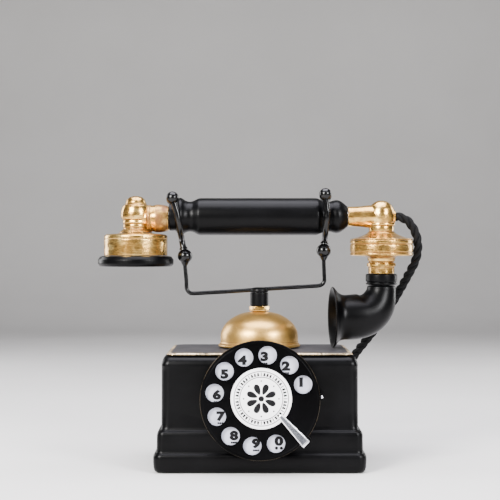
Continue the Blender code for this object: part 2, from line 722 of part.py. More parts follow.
def make_fork(name, ball, middle_x, tip, yaw, mats):
    """A leaning U of round rod on a short stem, with a ball on each tip."""
    ball, centre = Vector(ball), Vector((middle_x, 0, HANDSET_Z))
    up = (centre - ball).normalized()
    front = Vector((math.sin(yaw), -math.cos(yaw), 0))
    rise = Vector((tip[0], 0, tip[1]))
    path = [centre + rise * 0.85 + front * FORK_RADIUS, centre + front * FORK_RADIUS]
    for i in range(1, 7):
        angle = math.pi * i / 6
        path.append(centre + FORK_RADIUS * (math.cos(angle) * front - math.sin(angle) * up))
    path.append(centre + rise * 0.85 - front * FORK_RADIUS)
    fork = swept(name, path, PRONG_RADIUS, mats["gloss"], sides=8)
    bm = bmesh.new()
    stem_low = ball + up * (BALL_RADIUS + GAP - 0.25)
    stem_high = centre - up * FORK_RADIUS
    add_loft(bm, swept_rings([stem_low, stem_high], [PRONG_RADIUS, PRONG_RADIUS], 8))
    combine(fork, operand(name + "_stem", bm), "UNION")
    for number, side in enumerate((front, -front), 1):
        bm = bmesh.new()
        middle = centre + rise + side * FORK_RADIUS
        bmesh.ops.create_uvsphere(bm, u_segments=12, v_segments=7, radius=TIP_RADIUS,
                                  matrix=Matrix.Translation(middle))
        combine(fork, operand(f"{name}_tip_{number}", bm), "UNION")
    return fork


# ---------------------------------------------------------------- handset

def make_grip(mats):
    left = [(9.7, -67.6), (10.6, -66.8), (10.6, -62.2), (12.6, -61.4), (14.2, -59.6),
            (13.9, -58.2), (12.2, -55.6), (11.2, -52.8), (11.7, -49.8), (13.2, -46.8)]
    right = [(13.3, 44.4), (12.1, 46.6), (11.2, 50.0), (11.5, 53.6), (12.4, 57.4),
             (11.2, 60.8), (9.7, 64.0), (9.1, 65.9)]
    outer = left + [(GRIP_RADIUS, -44.4), (GRIP_RADIUS, 42.0)] + right
    profile = outer + [(4.3, 65.9), (4.3, -67.6)]
    return turned("handset_grip", profile, mats["enamel"], (0, 0, HANDSET_Z), "X", 20, True)


def make_handset_rod(mats):
    return turned("handset_rod", rod_profile(4.0, -72.0, 71.0), mats["steel"],
                  (0, 0, HANDSET_Z), "X", 12)


def rod_socket(name, start, end):
    bm = bmesh.new()
    add_turned(bm, rod_profile(4.3, start, end), (0, 0, HANDSET_Z), "X", 14)
    return operand(name, bm)


def make_receiver_elbow(mats):
    profile = [(12.4, 172.0), (11.2, 173.0), (9.3, 174.8), (9.0, 175.8), (9.4, 176.1),
               (9.4, 178.0), (8.4, 178.4), (9.6, 178.9), (9.6, 181.2), (10.5, 181.8),
               (11.1, 184.5), (10.9, 188.0), (9.6, 192.2), (7.6, 194.2), (6.6, 196.6),
               (4.2, 198.7), (1.4, 199.4)]
    elbow = turned("receiver_elbow", profile, mats["gold"], (EAR_X, 0, 0), segments=20)
    bm = bmesh.new()
    barrel = [(8.6, -93.0), (8.8, -84.2), (9.9, -83.6), (9.9, -81.0), (9.7, -80.4),
              (10.4, -76.0), (9.9, -71.2), (9.0, -67.9)]
    add_turned(bm, barrel, (0, 0, HANDSET_Z - 1.4), "X", 16)
    combine(elbow, operand("receiver_arm", bm), "UNION")
    combine(elbow, rod_socket("receiver_socket", -72.4, -60.0), "DIFFERENCE")
    return elbow


def make_receiver(mats):
    place = (EAR_X, 0, 0)
    profile = [(3.0, 171.7), (13.0, 171.7), (22.4, 170.8), (23.7, 169.6), (23.7, 154.8),
               (21.6, 154.8), (21.6, 168.6), (3.0, 168.6)]
    case = turned("receiver_case", profile, mats["gold"], place, segments=28, ring=True)
    profile = [(21.2, 157.0), (21.2, 160.0), (16.0, 160.4), (16.0, 166.0), (8.0, 168.2)]
    capsule = turned("receiver_capsule", profile, mats["steel"], place, segments=20)
    diaphragm = turned("receiver_diaphragm", rod_profile(21.2, 155.6, 156.4), mats["steel"],
                       place, segments=20)
    profile = [(4.0, 149.9), (13.0, 149.0), (22.0, 146.9), (25.5, 146.5), (27.6, 147.3),
               (28.3, 149.2), (28.2, 152.6), (27.2, 154.2), (25.0, 154.5), (4.0, 154.5)]
    cap = turned("ear_cap", profile, mats["enamel"], place, segments=28, ring=True)
    return [case, capsule, diaphragm, cap]


def make_mouth_elbow(mats):
    profile = [(20.0, 166.6), (23.4, 166.6), (23.3, 167.2), (18.4, 168.4), (14.0, 170.0),
               (10.4, 171.6), (9.8, 172.6), (9.2, 173.4), (9.2, 176.8), (10.2, 177.3),
               (10.2, 179.1), (9.5, 179.8), (9.9, 184.0), (9.7, 187.6), (8.7, 190.8),
               (6.6, 193.6), (3.8, 195.4), (1.2, 196.0)]
    elbow = turned("mouth_elbow", profile, mats["gold"], (MOUTH_X, 0, 0), segments=20)
    bm = bmesh.new()
    add_turned(bm, [(7.4, 66.3), (7.6, 74.0), (8.6, 82.0), (8.6, 91.0)], (0, 0, HANDSET_Z), "X", 16)
    combine(elbow, operand("mouth_arm", bm), "UNION")
    bm = bmesh.new()
    add_turned(bm, [(5.0, 96.0), (5.0, 101.2), (4.4, 101.9)], (0, 0, HANDSET_Z), "X", 12)
    combine(elbow, operand("mouth_nozzle", bm), "UNION")
    combine(elbow, rod_socket("mouth_socket", 60.0, 71.4), "DIFFERENCE")
    return elbow


def make_transmitter(mats):
    place = (MOUTH_X, 0, 0)
    profile = [(19.8, 166.3), (23.5, 166.3), (23.5, 164.0), (22.9, 163.4), (23.5, 162.8),
               (23.5, 157.6), (22.9, 157.1), (23.5, 156.6), (23.3, 155.0), (12.0, 154.3),
               (10.6, 153.4), (10.2, 150.8), (9.4, 150.3), (9.4, 149.5), (10.8, 148.9),
               (10.8, 146.8), (9.7, 146.0), (9.7, 141.4), (5.2, 141.4), (5.2, 156.8),
               (19.8, 156.8)]
    case = turned("transmitter_case", profile, mats["gold"], place, segments=24, ring=True)
    profile = [(19.4, 158.6), (19.4, 161.0), (15.0, 161.4), (15.0, 165.0), (8.0, 166.2)]
    capsule = turned("transmitter_capsule", profile, mats["steel"], place, segments=20)
    diaphragm = turned("transmitter_diaphragm", rod_profile(19.4, 157.2, 158.0), mats["steel"],
                       place, segments=20)
    profile = [(5.4, 132.9), (11.2, 132.9), (11.7, 133.4), (11.7, 134.2), (10.9, 134.7),
               (11.7, 135.3), (11.7, 140.4), (11.2, 141.1), (5.4, 141.1)]
    collar = turned("horn_collar", profile, mats["enamel"], place, segments=20, ring=True)
    return [case, capsule, diaphragm, collar]


def make_horn(mats):
    """A bent horn: outer skin from the collar to the flared rim, then the bore back."""
    out = Vector((-math.cos(HORN_TURN), -math.sin(HORN_TURN), 0))
    skin = ((0.0, 132.6, 10.7), (0.0, 129.6, 10.9), (0.8, 124.6, 12.0), (3.1, 118.6, 13.8),
            (7.4, 113.4, 15.4), (13.4, 110.2, 16.5), (20.9, 108.9, 16.9), (28.5, 108.6, 16.9),
            (31.6, 108.6, 17.7), (34.0, 108.7, 19.9), (35.6, 108.7, 22.2), (36.8, 108.7, 22.9))
    bore = ((37.4, 108.7, 22.3), (36.6, 108.7, 21.1), (34.0, 108.7, 18.3), (29.5, 108.7, 15.5),
            (21.0, 109.0, 13.6), (13.2, 110.8, 11.4), (7.4, 114.6, 8.8), (3.2, 119.6, 6.8),
            (0.9, 125.2, 5.6), (0.0, 130.0, 5.2), (0.0, 132.6, 5.2))
    rings = []
    for section in (skin, bore):
        path = [Vector((MOUTH_X, 0, z)) + out * along for along, z, _ in section]
        rings += horn_rings(path, [row[2] for row in section], out)
    bm = bmesh.new()
    add_loft(bm, rings, closed=True)
    return mesh_object("mouth_horn", bm, mats["enamel"])


def horn_rings(path, radii, out, sides=20):
    """Rings square to a path that stays in the upright plane through the direction out."""
    side = out.cross(Vector((0, 0, 1)))
    rings = []
    for i, (point, radius) in enumerate(zip(path, radii)):
        run = path[min(i + 1, len(path) - 1)] - path[max(i - 1, 0)]
        if run.dot(out - Vector((0, 0, 1))) < 0:
            run = -run
        up = side.cross(run.normalized())
        rings.append([point + radius * (math.cos(math.tau * k / sides) * side
                                        + math.sin(math.tau * k / sides) * up)
                      for k in range(sides)])
    return rings


# ---------------------------------------------------------------- cord

HANGING_ROUTE = [
    (102.2, 0.0, 184.0), (105.8, 0.1, 184.0), (111.2, 0.6, 181.2), (115.4, 1.2, 175.6),
    (118.3, 2.0, 169.0), (119.4, 3.6, 160.0), (118.0, 6.6, 151.2), (115.0, 10.0, 144.0),
    (111.0, 16.0, 135.2), (106.0, 23.4, 124.6), (99.0, 32.0, 111.0), (91.0, 40.6, 97.6),
    (83.4, 49.0, 86.4), (76.8, 56.6, 76.4), (71.2, 62.4, 64.0), (67.6, 67.0, 49.6),
    (65.4, 71.4, 36.0), (64.2, 76.8, 25.4), (63.4, 84.0, 18.4)]


def make_cord(mats):
    hanging = cord_tube("handset_cord", HANGING_ROUTE, mats["cloth"])
    tail_start = PLINTH_Y + 5.0 + GAP
    tail = [(GLAND_X, tail_start, GLAND_Z), (GLAND_X, tail_start + 4.0, GLAND_Z - 0.6),
            (GLAND_X, tail_start + 10.0, GLAND_Z - 3.0), (GLAND_X, tail_start + 18.6, CORD_RADIUS + 0.1)]
    cord_tube("cord_tail", tail, mats["cloth"])
    half, height = 2 * CORD_RADIUS + 0.3, 13.6
    turned("cord_coil", tube_profile(COIL_RADIUS - half, COIL_RADIUS + half, 0.05, height),
           mats["cloth"], (*COIL_CENTRE, 0), segments=32, ring=True)
    return hanging


# ---------------------------------------------------------------- whole object

def clear_scene():
    for thing in list(bpy.data.objects):
        bpy.data.objects.remove(thing, do_unlink=True)


def make_base(mats):
    make_felt(mats)
    make_base_plate(mats)
    make_base_screws(mats)
    make_casing(mats)
    make_cord_inlets(mats)
    make_gong(mats)
    make_nuts(mats)
    make_stem(mats)
    make_electrical(mats)


def make_hook_switch(mats):
    make_plunger_bracket(mats)
    make_plunger_spring(mats)
    make_contacts(mats)
    hang(joint_empty("hook_lever_axis", (LEVER_PIVOT[0], 0, LEVER_PIVOT[1])), [make_hook_lever(mats)])


def make_ringer(mats):
    make_ringer_yoke(mats)
    make_ringer_coils(mats)
    hang(joint_empty("ringer_axis", PIVOT), make_armature(mats))


def make_dial(mats):
    make_dial_cup(mats)
    make_dial_fixings(mats)
    make_number_plate(mats)
    make_dial_frame(mats)
    make_finger_stop(mats)
    turning = [make_finger_wheel(mats), make_label(mats), make_dial_shaft(mats), make_drive_gear(mats)]
    hang(joint_empty("wheel_axis", (0, WHEEL_FRONT, DIAL_Z)), turning)
    hang(joint_empty("governor_axis", (0, GEAR_FRONT, GOVERNOR_Z)), [make_governor(mats)])


def make_cradle(mats):
    moving = [make_plunger(mats), make_crossbar(mats),
              make_ball("cradle_ball_left", LEFT_BALL, mats),
              make_ball("cradle_ball_right", RIGHT_BALL, mats),
              make_fork("cradle_fork_left", LEFT_BALL, LEFT_MIDDLE_X, LEFT_TIP, LEFT_YAW, mats),
              make_fork("cradle_fork_right", RIGHT_BALL, RIGHT_MIDDLE_X, RIGHT_TIP, RIGHT_YAW, mats)]
    hang(joint_empty("cradle_slide", (0, 0, POST_TOP)), moving)


def make_handset(mats):
    pieces = [make_grip(mats), make_handset_rod(mats), make_receiver_elbow(mats)]
    pieces += make_receiver(mats)
    pieces.append(make_mouth_elbow(mats))
    pieces += make_transmitter(mats)
    pieces.append(make_horn(mats))
    pieces.append(make_cord(mats))
    hang(joint_empty("handset_lift", (0, 0, HANDSET_Z)), pieces)


def main():
    clear_scene()
    mats = make_materials()
    make_base(mats)
    make_hook_switch(mats)
    make_ringer(mats)
    make_dial(mats)
    make_cradle(mats)
    make_handset(mats)


main()
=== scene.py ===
import json
import math

import bmesh
import bpy
from mathutils import Matrix, Vector


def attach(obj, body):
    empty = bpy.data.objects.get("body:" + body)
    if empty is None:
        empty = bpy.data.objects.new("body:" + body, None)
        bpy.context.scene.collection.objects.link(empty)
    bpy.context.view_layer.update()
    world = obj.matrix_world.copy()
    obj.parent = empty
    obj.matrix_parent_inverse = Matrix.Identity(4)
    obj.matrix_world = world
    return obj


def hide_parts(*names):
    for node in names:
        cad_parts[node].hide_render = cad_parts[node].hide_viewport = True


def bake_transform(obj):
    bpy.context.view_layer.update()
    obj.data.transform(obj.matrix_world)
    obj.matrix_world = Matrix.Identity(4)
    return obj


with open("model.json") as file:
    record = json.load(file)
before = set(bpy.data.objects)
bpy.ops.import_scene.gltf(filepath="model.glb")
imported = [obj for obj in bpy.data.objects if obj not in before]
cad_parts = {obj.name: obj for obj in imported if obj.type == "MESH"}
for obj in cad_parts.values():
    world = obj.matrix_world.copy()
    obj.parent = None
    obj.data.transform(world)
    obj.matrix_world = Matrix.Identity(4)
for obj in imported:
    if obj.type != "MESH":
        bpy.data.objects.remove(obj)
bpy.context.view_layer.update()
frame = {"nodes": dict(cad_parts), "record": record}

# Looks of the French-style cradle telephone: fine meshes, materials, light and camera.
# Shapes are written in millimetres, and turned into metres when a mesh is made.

MM = 0.001
SEGMENTS, FINE_SEGMENTS = 80, 112            # round a turned piece, and round a wide one
SMOOTH_ANGLE = math.radians(40)

# Shared sizes, as in the part
DIAL_Z = 53.3
HANDSET_Z = 184.0
EAR_X, MOUTH_X = -92.6, 91.5
WHEEL_FRONT, WHEEL_BACK = -62.0, -60.0
HOLE_CIRCLE, HOLE_RADIUS = 32.3, 6.45
FIRST_HOLE, HOLE_STEP = 20.4, 30.0
WHEEL_RADIUS, LABEL_RADIUS = 42.3, 21.5
STOP_ANGLE, PIN_ANGLE = -43.1, 2.7          # degrees round the dial, anticlockwise from +X
CORD_RADIUS = 3.5
LEFT_BALL, RIGHT_BALL = Vector((-55.8, 0, 154.4)), Vector((48.3, 0, 158.4))
BALL_RADIUS, TIP_RADIUS = 5.45, 4.65
WIRE_RADIUS, PRONG_RADIUS, FORK_RADIUS = 1.55, 2.25, 17.2
LABEL_X, LABEL_Z = 0.9, DIAL_Z + 1.5


# ---- objects and the camera

def add_object(name, data):
    made = bpy.data.objects.new(name, data)
    bpy.context.scene.collection.objects.link(made)
    return made


def mesh_from(name, bm):
    """Turn a bmesh into a mesh, and free it."""
    mesh = bpy.data.meshes.new(name)
    bm.to_mesh(mesh)
    bm.free()
    return mesh


def make_camera():
    """Level with the set's upper part, nearly a metre in front of it."""
    data = bpy.data.cameras.new("view_camera")
    data.lens = 91.2
    data.sensor_width = 36.0
    data.clip_start = 0.05
    camera = add_object("view_camera", data)
    camera.location = (-0.007, -0.950, 0.159)
    camera.rotation_euler = (math.radians(90), 0, 0)
    bpy.context.scene.camera = camera


make_camera()


# ---- material nodes

class Shader:
    """A Principled material, with short calls for the nodes that shape it."""

    def __init__(self, name, **values):
        self.material = bpy.data.materials.new(name)
        self.material.use_nodes = True
        self.tree = self.material.node_tree
        self.base = self.tree.nodes["Principled BSDF"]
        for key, value in values.items():
            self.base.inputs[key.replace("_", " ")].default_value = value
        self.place = self.tree.nodes.new("ShaderNodeTexCoord").outputs["Object"]

    def node(self, kind, **settings):
        made = self.tree.nodes.new("ShaderNode" + kind)
        for key, value in settings.items():
            setattr(made, key, value)
        return made

    def link(self, source, target):
        self.tree.links.new(source, target)

    def stretched(self, scale):
        made = self.node("Mapping")
        made.inputs["Scale"].default_value = scale
        self.link(self.place, made.inputs["Vector"])
        return made.outputs["Vector"]

    def noise(self, scale, detail=4.0, rough=0.55, stretch=None):
        made = self.node("TexNoise")
        made.inputs["Scale"].default_value = scale
        made.inputs["Detail"].default_value = detail
        made.inputs["Roughness"].default_value = rough
        self.link(self.stretched(stretch) if stretch else self.place, made.inputs["Vector"])
        return made.outputs["Fac"]

    def attribute(self, name, output="Fac"):
        return self.node("Attribute", attribute_name=name).outputs[output]

    def ramp(self, factor, stops):
        made = self.node("ValToRGB")
        made.color_ramp.interpolation = "EASE"
        while len(made.color_ramp.elements) < len(stops):
            made.color_ramp.elements.new(0.5)
        for element, (position, value) in zip(made.color_ramp.elements, stops):
            element.position = position
            element.color = (*value, 1.0) if isinstance(value, tuple) else (value, value, value, 1.0)
        self.link(factor, made.inputs["Fac"])
        return made.outputs["Color"]

    def math(self, operation, first, second, clamp=False):
        made = self.node("Math", operation=operation, use_clamp=clamp)
        for slot, value in zip(made.inputs, (first, second)):
            if isinstance(value, (int, float)):
                slot.default_value = value
            else:
                self.link(value, slot)
        return made.outputs[0]

    def times(self, first, second, clamp=False):
        return self.math("MULTIPLY", first, second, clamp)

    def plus(self, first, second):
        return self.math("ADD", first, second)

    def mix(self, factor, first, second, blend="MIX"):
        made = self.node("Mix", data_type="RGBA", blend_type=blend)
        for slot, value in ((made.inputs["Factor"], factor), (made.inputs["A"], first),
                            (made.inputs["B"], second)):
            if isinstance(value, (int, float)):
                slot.default_value = value
            elif isinstance(value, tuple):
                slot.default_value = (*value, 1.0)
            else:
                self.link(value, slot)
        return made.outputs["Result"]

    def bump(self, height, distance, strength=1.0, under=None):
        made = self.node("Bump")
        made.inputs["Distance"].default_value = distance
        made.inputs["Strength"].default_value = strength
        self.link(height, made.inputs["Height"])
        if under is not None:
            self.link(under, made.inputs["Normal"])
        return made.outputs["Normal"]

    def wire(self, **sources):
        for key, source in sources.items():
            self.link(source, self.base.inputs[key.replace("_", " ")])
        return self.material


def satin_black(name, shine, low):
    """Sprayed satin enamel: faint mottling, fine orange peel, brass showing at worn edges, and a painted
    sheen of lighter grey streaks on the lid.
    """
    s = Shader(name, Specular_IOR_Level=shine)
    mottle = s.noise(28.0, 5.0)
    grain = s.noise(900.0, 3.0)
    dust = s.noise(160.0, 6.0, 0.7)
    paint = s.ramp(mottle, ((0.30, (0.0004, 0.0004, 0.0005)), (0.75, (0.0013, 0.0013, 0.0016))))
    paint = s.mix(s.ramp(dust, ((0.60, 0.0), (0.85, 0.30))), paint, (0.006, 0.006, 0.007))
    # painted sheen: the lid's top face is painted a lighter, streaky grey that stands in for its reflection
    lid_sheen_smear = s.ramp(s.noise(75.0, 6.0, 0.65), ((0.30, 0.55), (0.70, 1.0)))
    paint = s.mix(s.times(s.attribute("lid"), lid_sheen_smear), paint, (0.043, 0.0415, 0.045))
    bare = s.ramp(grain, ((0.3, (0.66, 0.42, 0.18)), (0.7, (1.0, 0.86, 0.62))))
    wear = s.times(s.attribute("wear"), s.ramp(s.noise(300.0, 5.0, 0.7),
                                                         ((0.38, 0.10), (0.52, 1.0))))
    wear = s.times(wear, s.ramp(s.noise(55.0, 3.0), ((0.38, 0.25), (0.55, 1.0))))
    rough = s.plus(s.times(mottle, 0.16), s.times(grain, 0.08))
    rough = s.plus(rough, low)
    rough = s.plus(rough, s.times(s.attribute("lid"), 0.16))
    coarse = s.bump(s.noise(110.0, 2.0), 0.00030, 0.35)
    return s.wire(Base_Color=s.mix(wear, paint, bare), Roughness=rough,
                  Metallic=s.times(wear, 0.7),
                  Normal=s.bump(grain, 0.00006, 0.4, coarse))


def gloss_black():
    """Stoved gloss black over rod and balls."""
    s = Shader("gloss_black_enamel", Specular_IOR_Level=0.25)
    mottle = s.noise(90.0, 4.0)
    paint = s.ramp(mottle, ((0.3, (0.0008, 0.0008, 0.0009)), (0.75, (0.0020, 0.0020, 0.0023))))
    rough = s.ramp(s.noise(260.0, 4.0), ((0.3, 0.14), (0.8, 0.30)))
    return s.wire(Base_Color=paint, Roughness=rough,
                  Normal=s.bump(s.noise(420.0, 2.0), 0.00012, 0.35))


def satin_gold(name, stretch, low=0.15, cast=1.0):
    """Hand-rubbed gold finish: brush streaks, warm mottling, brown left in the hollows."""
    s = Shader(name)
    streaks = s.noise(1.0, 5.0, 0.6, stretch)
    patches = s.noise(75.0, 5.0, 0.6)
    fine = s.noise(500.0, 3.0)
    gold = s.ramp(patches, ((0.30, (0.34, 0.170, 0.034)), (0.48, (0.62, 0.360, 0.092)),
                            (0.70, (0.88, 0.610, 0.205))))
    gold = s.mix(cast, (0.57, 0.335, 0.090), gold)
    gold = s.mix(s.ramp(streaks, ((0.32, 0.55 * cast), (0.56, 0.0))), gold, (0.27, 0.130, 0.030))
    gold = s.mix(s.ramp(fine, ((0.60, 0.0), (0.78, 0.35))), gold, (0.98, 0.78, 0.32))
    crinkle = s.ramp(s.noise(150.0, 4.0, 0.6), ((0.470, 0.0), (0.500, 0.75), (0.530, 0.0)))
    crinkle = s.times(crinkle, s.ramp(s.noise(60.0, 3.0), ((0.44, 0.0), (0.56, cast))))
    gold = s.mix(crinkle, gold, (0.16, 0.065, 0.012))
    shade = s.node("AmbientOcclusion", samples=6, only_local=True)
    shade.inputs["Distance"].default_value = 0.0035
    crevice = s.ramp(shade.outputs["AO"], ((0.30, 1.0), (0.72, 0.0)))
    hollow = s.math("MAXIMUM", s.attribute("cavity"), crevice)
    hollow = s.times(hollow, s.ramp(s.noise(190.0, 4.0), ((0.25, 0.30), (0.60, 1.0))), True)
    colour = s.mix(hollow, gold, (0.13, 0.050, 0.010))
    rough = s.plus(s.times(streaks, 0.18), low)
    rough = s.plus(rough, s.times(hollow, 0.25))
    lumps = s.bump(s.noise(110.0, 3.0), 0.00090, 0.55 * cast)
    metal = s.math("SUBTRACT", 0.95, s.times(hollow, 0.40))
    return s.wire(Base_Color=colour, Roughness=rough, Metallic=metal,
                  Normal=s.bump(streaks, 0.00008, 0.45, lumps))


def brushed_metal(name, dark, bright, stretch, low=0.20, high=0.42):
    s = Shader(name, Metallic=1.0)
    streaks = s.noise(1.0, 5.0, 0.65, stretch)
    stain = s.noise(60.0, 4.0)
    colour = s.mix(s.ramp(stain, ((0.35, 0.0), (0.8, 0.6))),
                   s.ramp(streaks, ((0.3, dark), (0.7, bright))), dark)
    colour = s.mix(s.attribute("polish"), colour, (0.93, 0.94, 0.96))
    return s.wire(Base_Color=colour, Roughness=s.ramp(streaks, ((0.3, low), (0.75, high))),
                  Normal=s.bump(streaks, 0.00006, 0.4))


def number_enamel():
    """Pale enamel of the number plate, slightly clouded."""
    s = Shader("pale_enamel", Coat_Weight=0.25, Coat_Roughness=0.15)
    cloud = s.noise(120.0, 4.0)
    speck = s.noise(1500.0, 2.0)
    colour = s.ramp(cloud, ((0.3, (0.37, 0.38, 0.45)), (0.7, (0.48, 0.49, 0.58))))
    colour = s.mix(s.ramp(speck, ((0.70, 0.0), (0.82, 0.35))), colour, (0.48, 0.48, 0.54))
    return s.wire(Base_Color=colour, Roughness=s.ramp(speck, ((0.3, 0.28), (0.7, 0.42))),
                  Normal=s.bump(cloud, 0.0001, 0.2))


def white_card():
    s = Shader("white_card")
    fibre = s.noise(1.0, 6.0, 0.7, (900, 900, 2400))
    age = s.noise(60.0, 4.0)
    colour = s.ramp(age, ((0.3, (0.90, 0.885, 0.895)), (0.7, (0.97, 0.96, 0.97))))
    return s.wire(Base_Color=colour, Roughness=s.ramp(fibre, ((0.3, 0.55), (0.7, 0.75))),
                  Normal=s.bump(fibre, 0.00004, 0.5))


def printed(name, dark, light):
    """Printing ink or stoved paint on a flat mark."""
    s = Shader(name, Specular_IOR_Level=0.12)
    blot = s.noise(800.0, 4.0)
    return s.wire(Base_Color=s.ramp(blot, ((0.3, dark), (0.75, light))),
                  Roughness=s.ramp(blot, ((0.3, 0.45), (0.7, 0.65))))


def cotton_rope():
    """Braided cotton on each strand: two crossing sets of yarns along the strand's own length, with painted
    shade in the weave's grooves and painted highlight on the yarns' crowns.
    """
    s = Shader("black_cotton", Specular_IOR_Level=0.15)
    along = s.node("SeparateXYZ")
    s.link(s.attribute("strand", "Vector"), along.inputs[0])
    u, v = along.outputs["X"], along.outputs["Y"]
    turns = s.times(u, math.tau / 0.0016)
    round_strand = s.times(v, math.tau * 5)
    left = s.math("SINE", s.plus(turns, round_strand), 0.0)
    right = s.math("SINE", s.math("SUBTRACT", turns, round_strand), 0.0)
    yarn = s.times(left, right)
    fuzz = s.noise(1800.0, 4.0, 0.7)
    height = s.plus(s.times(yarn, 0.5), fuzz)
    # painted shade and highlight: the colour follows the weave's relief, darker in the grooves and lighter
    # on the yarns
    colour = s.mix(s.math("MULTIPLY_ADD", yarn, 0.5), (0.0010, 0.0010, 0.0011), (0.0042, 0.0042, 0.0046))
    colour = s.mix(s.ramp(fuzz, ((0.62, 0.0), (0.80, 0.6))), colour, (0.009, 0.009, 0.0095))
    return s.wire(Base_Color=colour, Roughness=s.ramp(fuzz, ((0.3, 0.75), (0.7, 0.95))),
                  Normal=s.bump(height, 0.00020, 0.8))


def plain_stuff(name, dark, light, rough, scale, metallic=0.0, depth=0.0001, stretch=None):
    """Felt, rubber, board and winding: two tones of grain with matching relief."""
    s = Shader(name, Metallic=metallic)
    grain = s.noise(scale, 5.0, 0.65, stretch)
    return s.wire(Base_Color=s.ramp(grain, ((0.3, dark), (0.72, light))),
                  Roughness=s.ramp(grain, ((0.3, rough - 0.1), (0.7, rough))),
                  Normal=s.bump(grain, depth, 0.6))


MAT = {
    "black": satin_black("satin_black_enamel", 0.085, 0.22),
    "disc": satin_black("disc_black_enamel", 0.03, 0.20),
    "gloss": gloss_black(),
    "gold_z": satin_gold("rubbed_gold_upright", (90, 90, 1300)),
    "gold_x": satin_gold("rubbed_gold_level", (260, 180, 700)),
    "bell": satin_gold("spun_gold", (70, 70, 160), 0.26, 0.20),
    "steel": brushed_metal("bright_steel", (0.42, 0.42, 0.44), (0.78, 0.78, 0.80), (90, 90, 2200)),
    "stop": brushed_metal("stop_steel", (0.06, 0.065, 0.075), (0.24, 0.25, 0.27), (1400, 300, 1400),
                          0.25, 0.45),
    "brass": brushed_metal("machined_brass", (0.50, 0.33, 0.13), (0.82, 0.62, 0.32), (120, 2200, 120)),
    "plate": number_enamel(),
    "card": white_card(),
    "digit": printed("digit_black", (0.001, 0.001, 0.0012), (0.005, 0.005, 0.006)),
    "grey": printed("grey_ink", (0.004, 0.004, 0.0044), (0.014, 0.014, 0.015)),
    "rope": cotton_rope(),
    "felt": plain_stuff("green_felt", (0.020, 0.045, 0.028), (0.060, 0.100, 0.066), 0.98, 1600.0),
    "rubber": plain_stuff("black_rubber", (0.018,) * 3, (0.040,) * 3, 0.80, 700.0),
    "board": plain_stuff("pressed_board", (0.13, 0.055, 0.028), (0.27, 0.125, 0.06), 0.60, 500.0),
    "copper": plain_stuff("wound_copper", (0.36, 0.13, 0.06), (0.72, 0.33, 0.17), 0.42, 1.0, 1.0,
                          0.0003, (60, 60, 3600)),
}
# the record's slot of each material, and the material of each slot, where their names differ
NODE_MATERIAL = {"satin_gold": "gold_z", "black_enamel": "black", "gloss_black": "gloss",
                 "white_enamel": "plate", "cord_cloth": "rope", "copper_winding": "copper",
                 "brown_board": "board"}


# ---- mesh tools

def finish_mesh(name, bm, mat, body, stands_for=(), smooth=SMOOTH_ANGLE):
    """A bmesh in millimetres becomes a piece in metres that rides on a body."""
    bmesh.ops.recalc_face_normals(bm, faces=bm.faces)
    if bm.calc_volume(signed=True) < 0:
        bmesh.ops.reverse_faces(bm, faces=bm.faces)
    bmesh.ops.scale(bm, vec=(MM, MM, MM), verts=bm.verts)
    mesh = mesh_from(name, bm)
    mesh.materials.append(MAT[mat])
    mesh.shade_smooth()
    if smooth:
        mesh.set_sharp_from_angle(angle=smooth)
    piece = add_object(name, mesh)
    if body:
        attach(piece, body)
    if stands_for:
        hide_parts(*stands_for)
    return piece


def apply_modifiers(piece):
    """Bake the piece's modifiers into its mesh."""
    graph = bpy.context.evaluated_depsgraph_get()
    mesh = bpy.data.meshes.new_from_object(piece.evaluated_get(graph))
    old, piece.data = piece.data, mesh
    piece.modifiers.clear()
    bpy.data.meshes.remove(old)


def bevel(piece, width, angle=35, segments=3):
    change = piece.modifiers.new("edge_round", "BEVEL")
    change.width = width * MM
    change.segments = segments
    change.limit_method = "ANGLE"
    change.angle_limit = math.radians(angle)
    apply_modifiers(piece)
    piece.data.set_sharp_from_angle(angle=SMOOTH_ANGLE)


def combine(piece, bm, operation):
    """Cut or join the shapes of a bmesh in millimetres, and keep the result."""
    tool = finish_tool(bm)
    change = piece.modifiers.new("combine", "BOOLEAN")
    change.operation = operation
    change.object = tool
    apply_modifiers(piece)
    bpy.data.objects.remove(tool, do_unlink=True)


def finish_casting(piece):
    """Smooth shading over a casting's joined branches."""
    piece.data.shade_smooth()
    piece.data.set_sharp_from_angle(angle=SMOOTH_ANGLE)


def finish_tool(bm):
    bmesh.ops.recalc_face_normals(bm, faces=bm.faces)
    bmesh.ops.scale(bm, vec=(MM, MM, MM), verts=bm.verts)
    return add_object("tool", mesh_from("tool", bm))


def set_attribute(piece, name, function):
    """Store a 0 to 1 value per vertex, from its place in millimetres."""
    mesh = piece.data
    layer = mesh.attributes.get(name) or mesh.attributes.new(name, "FLOAT", "POINT")
    for vertex, item in zip(mesh.vertices, layer.data):
        item.value = max(0.0, min(1.0, function(vertex.co / MM)))


def add_loft(bm, rings, closed=False, values=None):
    layer = bm.verts.layers.float.get("cavity") or bm.verts.layers.float.new("cavity")
    rows = []
    for k, ring in enumerate(rings):
        row = [bm.verts.new(point) for point in ring]
        for vertex in row:
            vertex[layer] = values[k] if values else 0.0
        rows.append(row)
    count = len(rows[0])
    pairs = list(zip(rows, rows[1:])) + ([(rows[-1], rows[0])] if closed else [])
    for low, high in pairs:
        for i in range(count):
            j = (i + 1) % count
            bm.faces.new((low[i], low[j], high[j], high[i]))
    if not closed:
        bm.faces.new(rows[0])
        bm.faces.new(rows[-1])


def ring_points(radius, along, centre, axis, segments):
    points = []
    for i in range(segments):
        angle = math.tau * i / segments
        across, up = radius * math.cos(angle), radius * math.sin(angle)
        offset = {"X": (along, across, up), "Y": (across, along, up), "Z": (across, up, along)}[axis]
        points.append(Vector(centre) + Vector(offset))
    return points


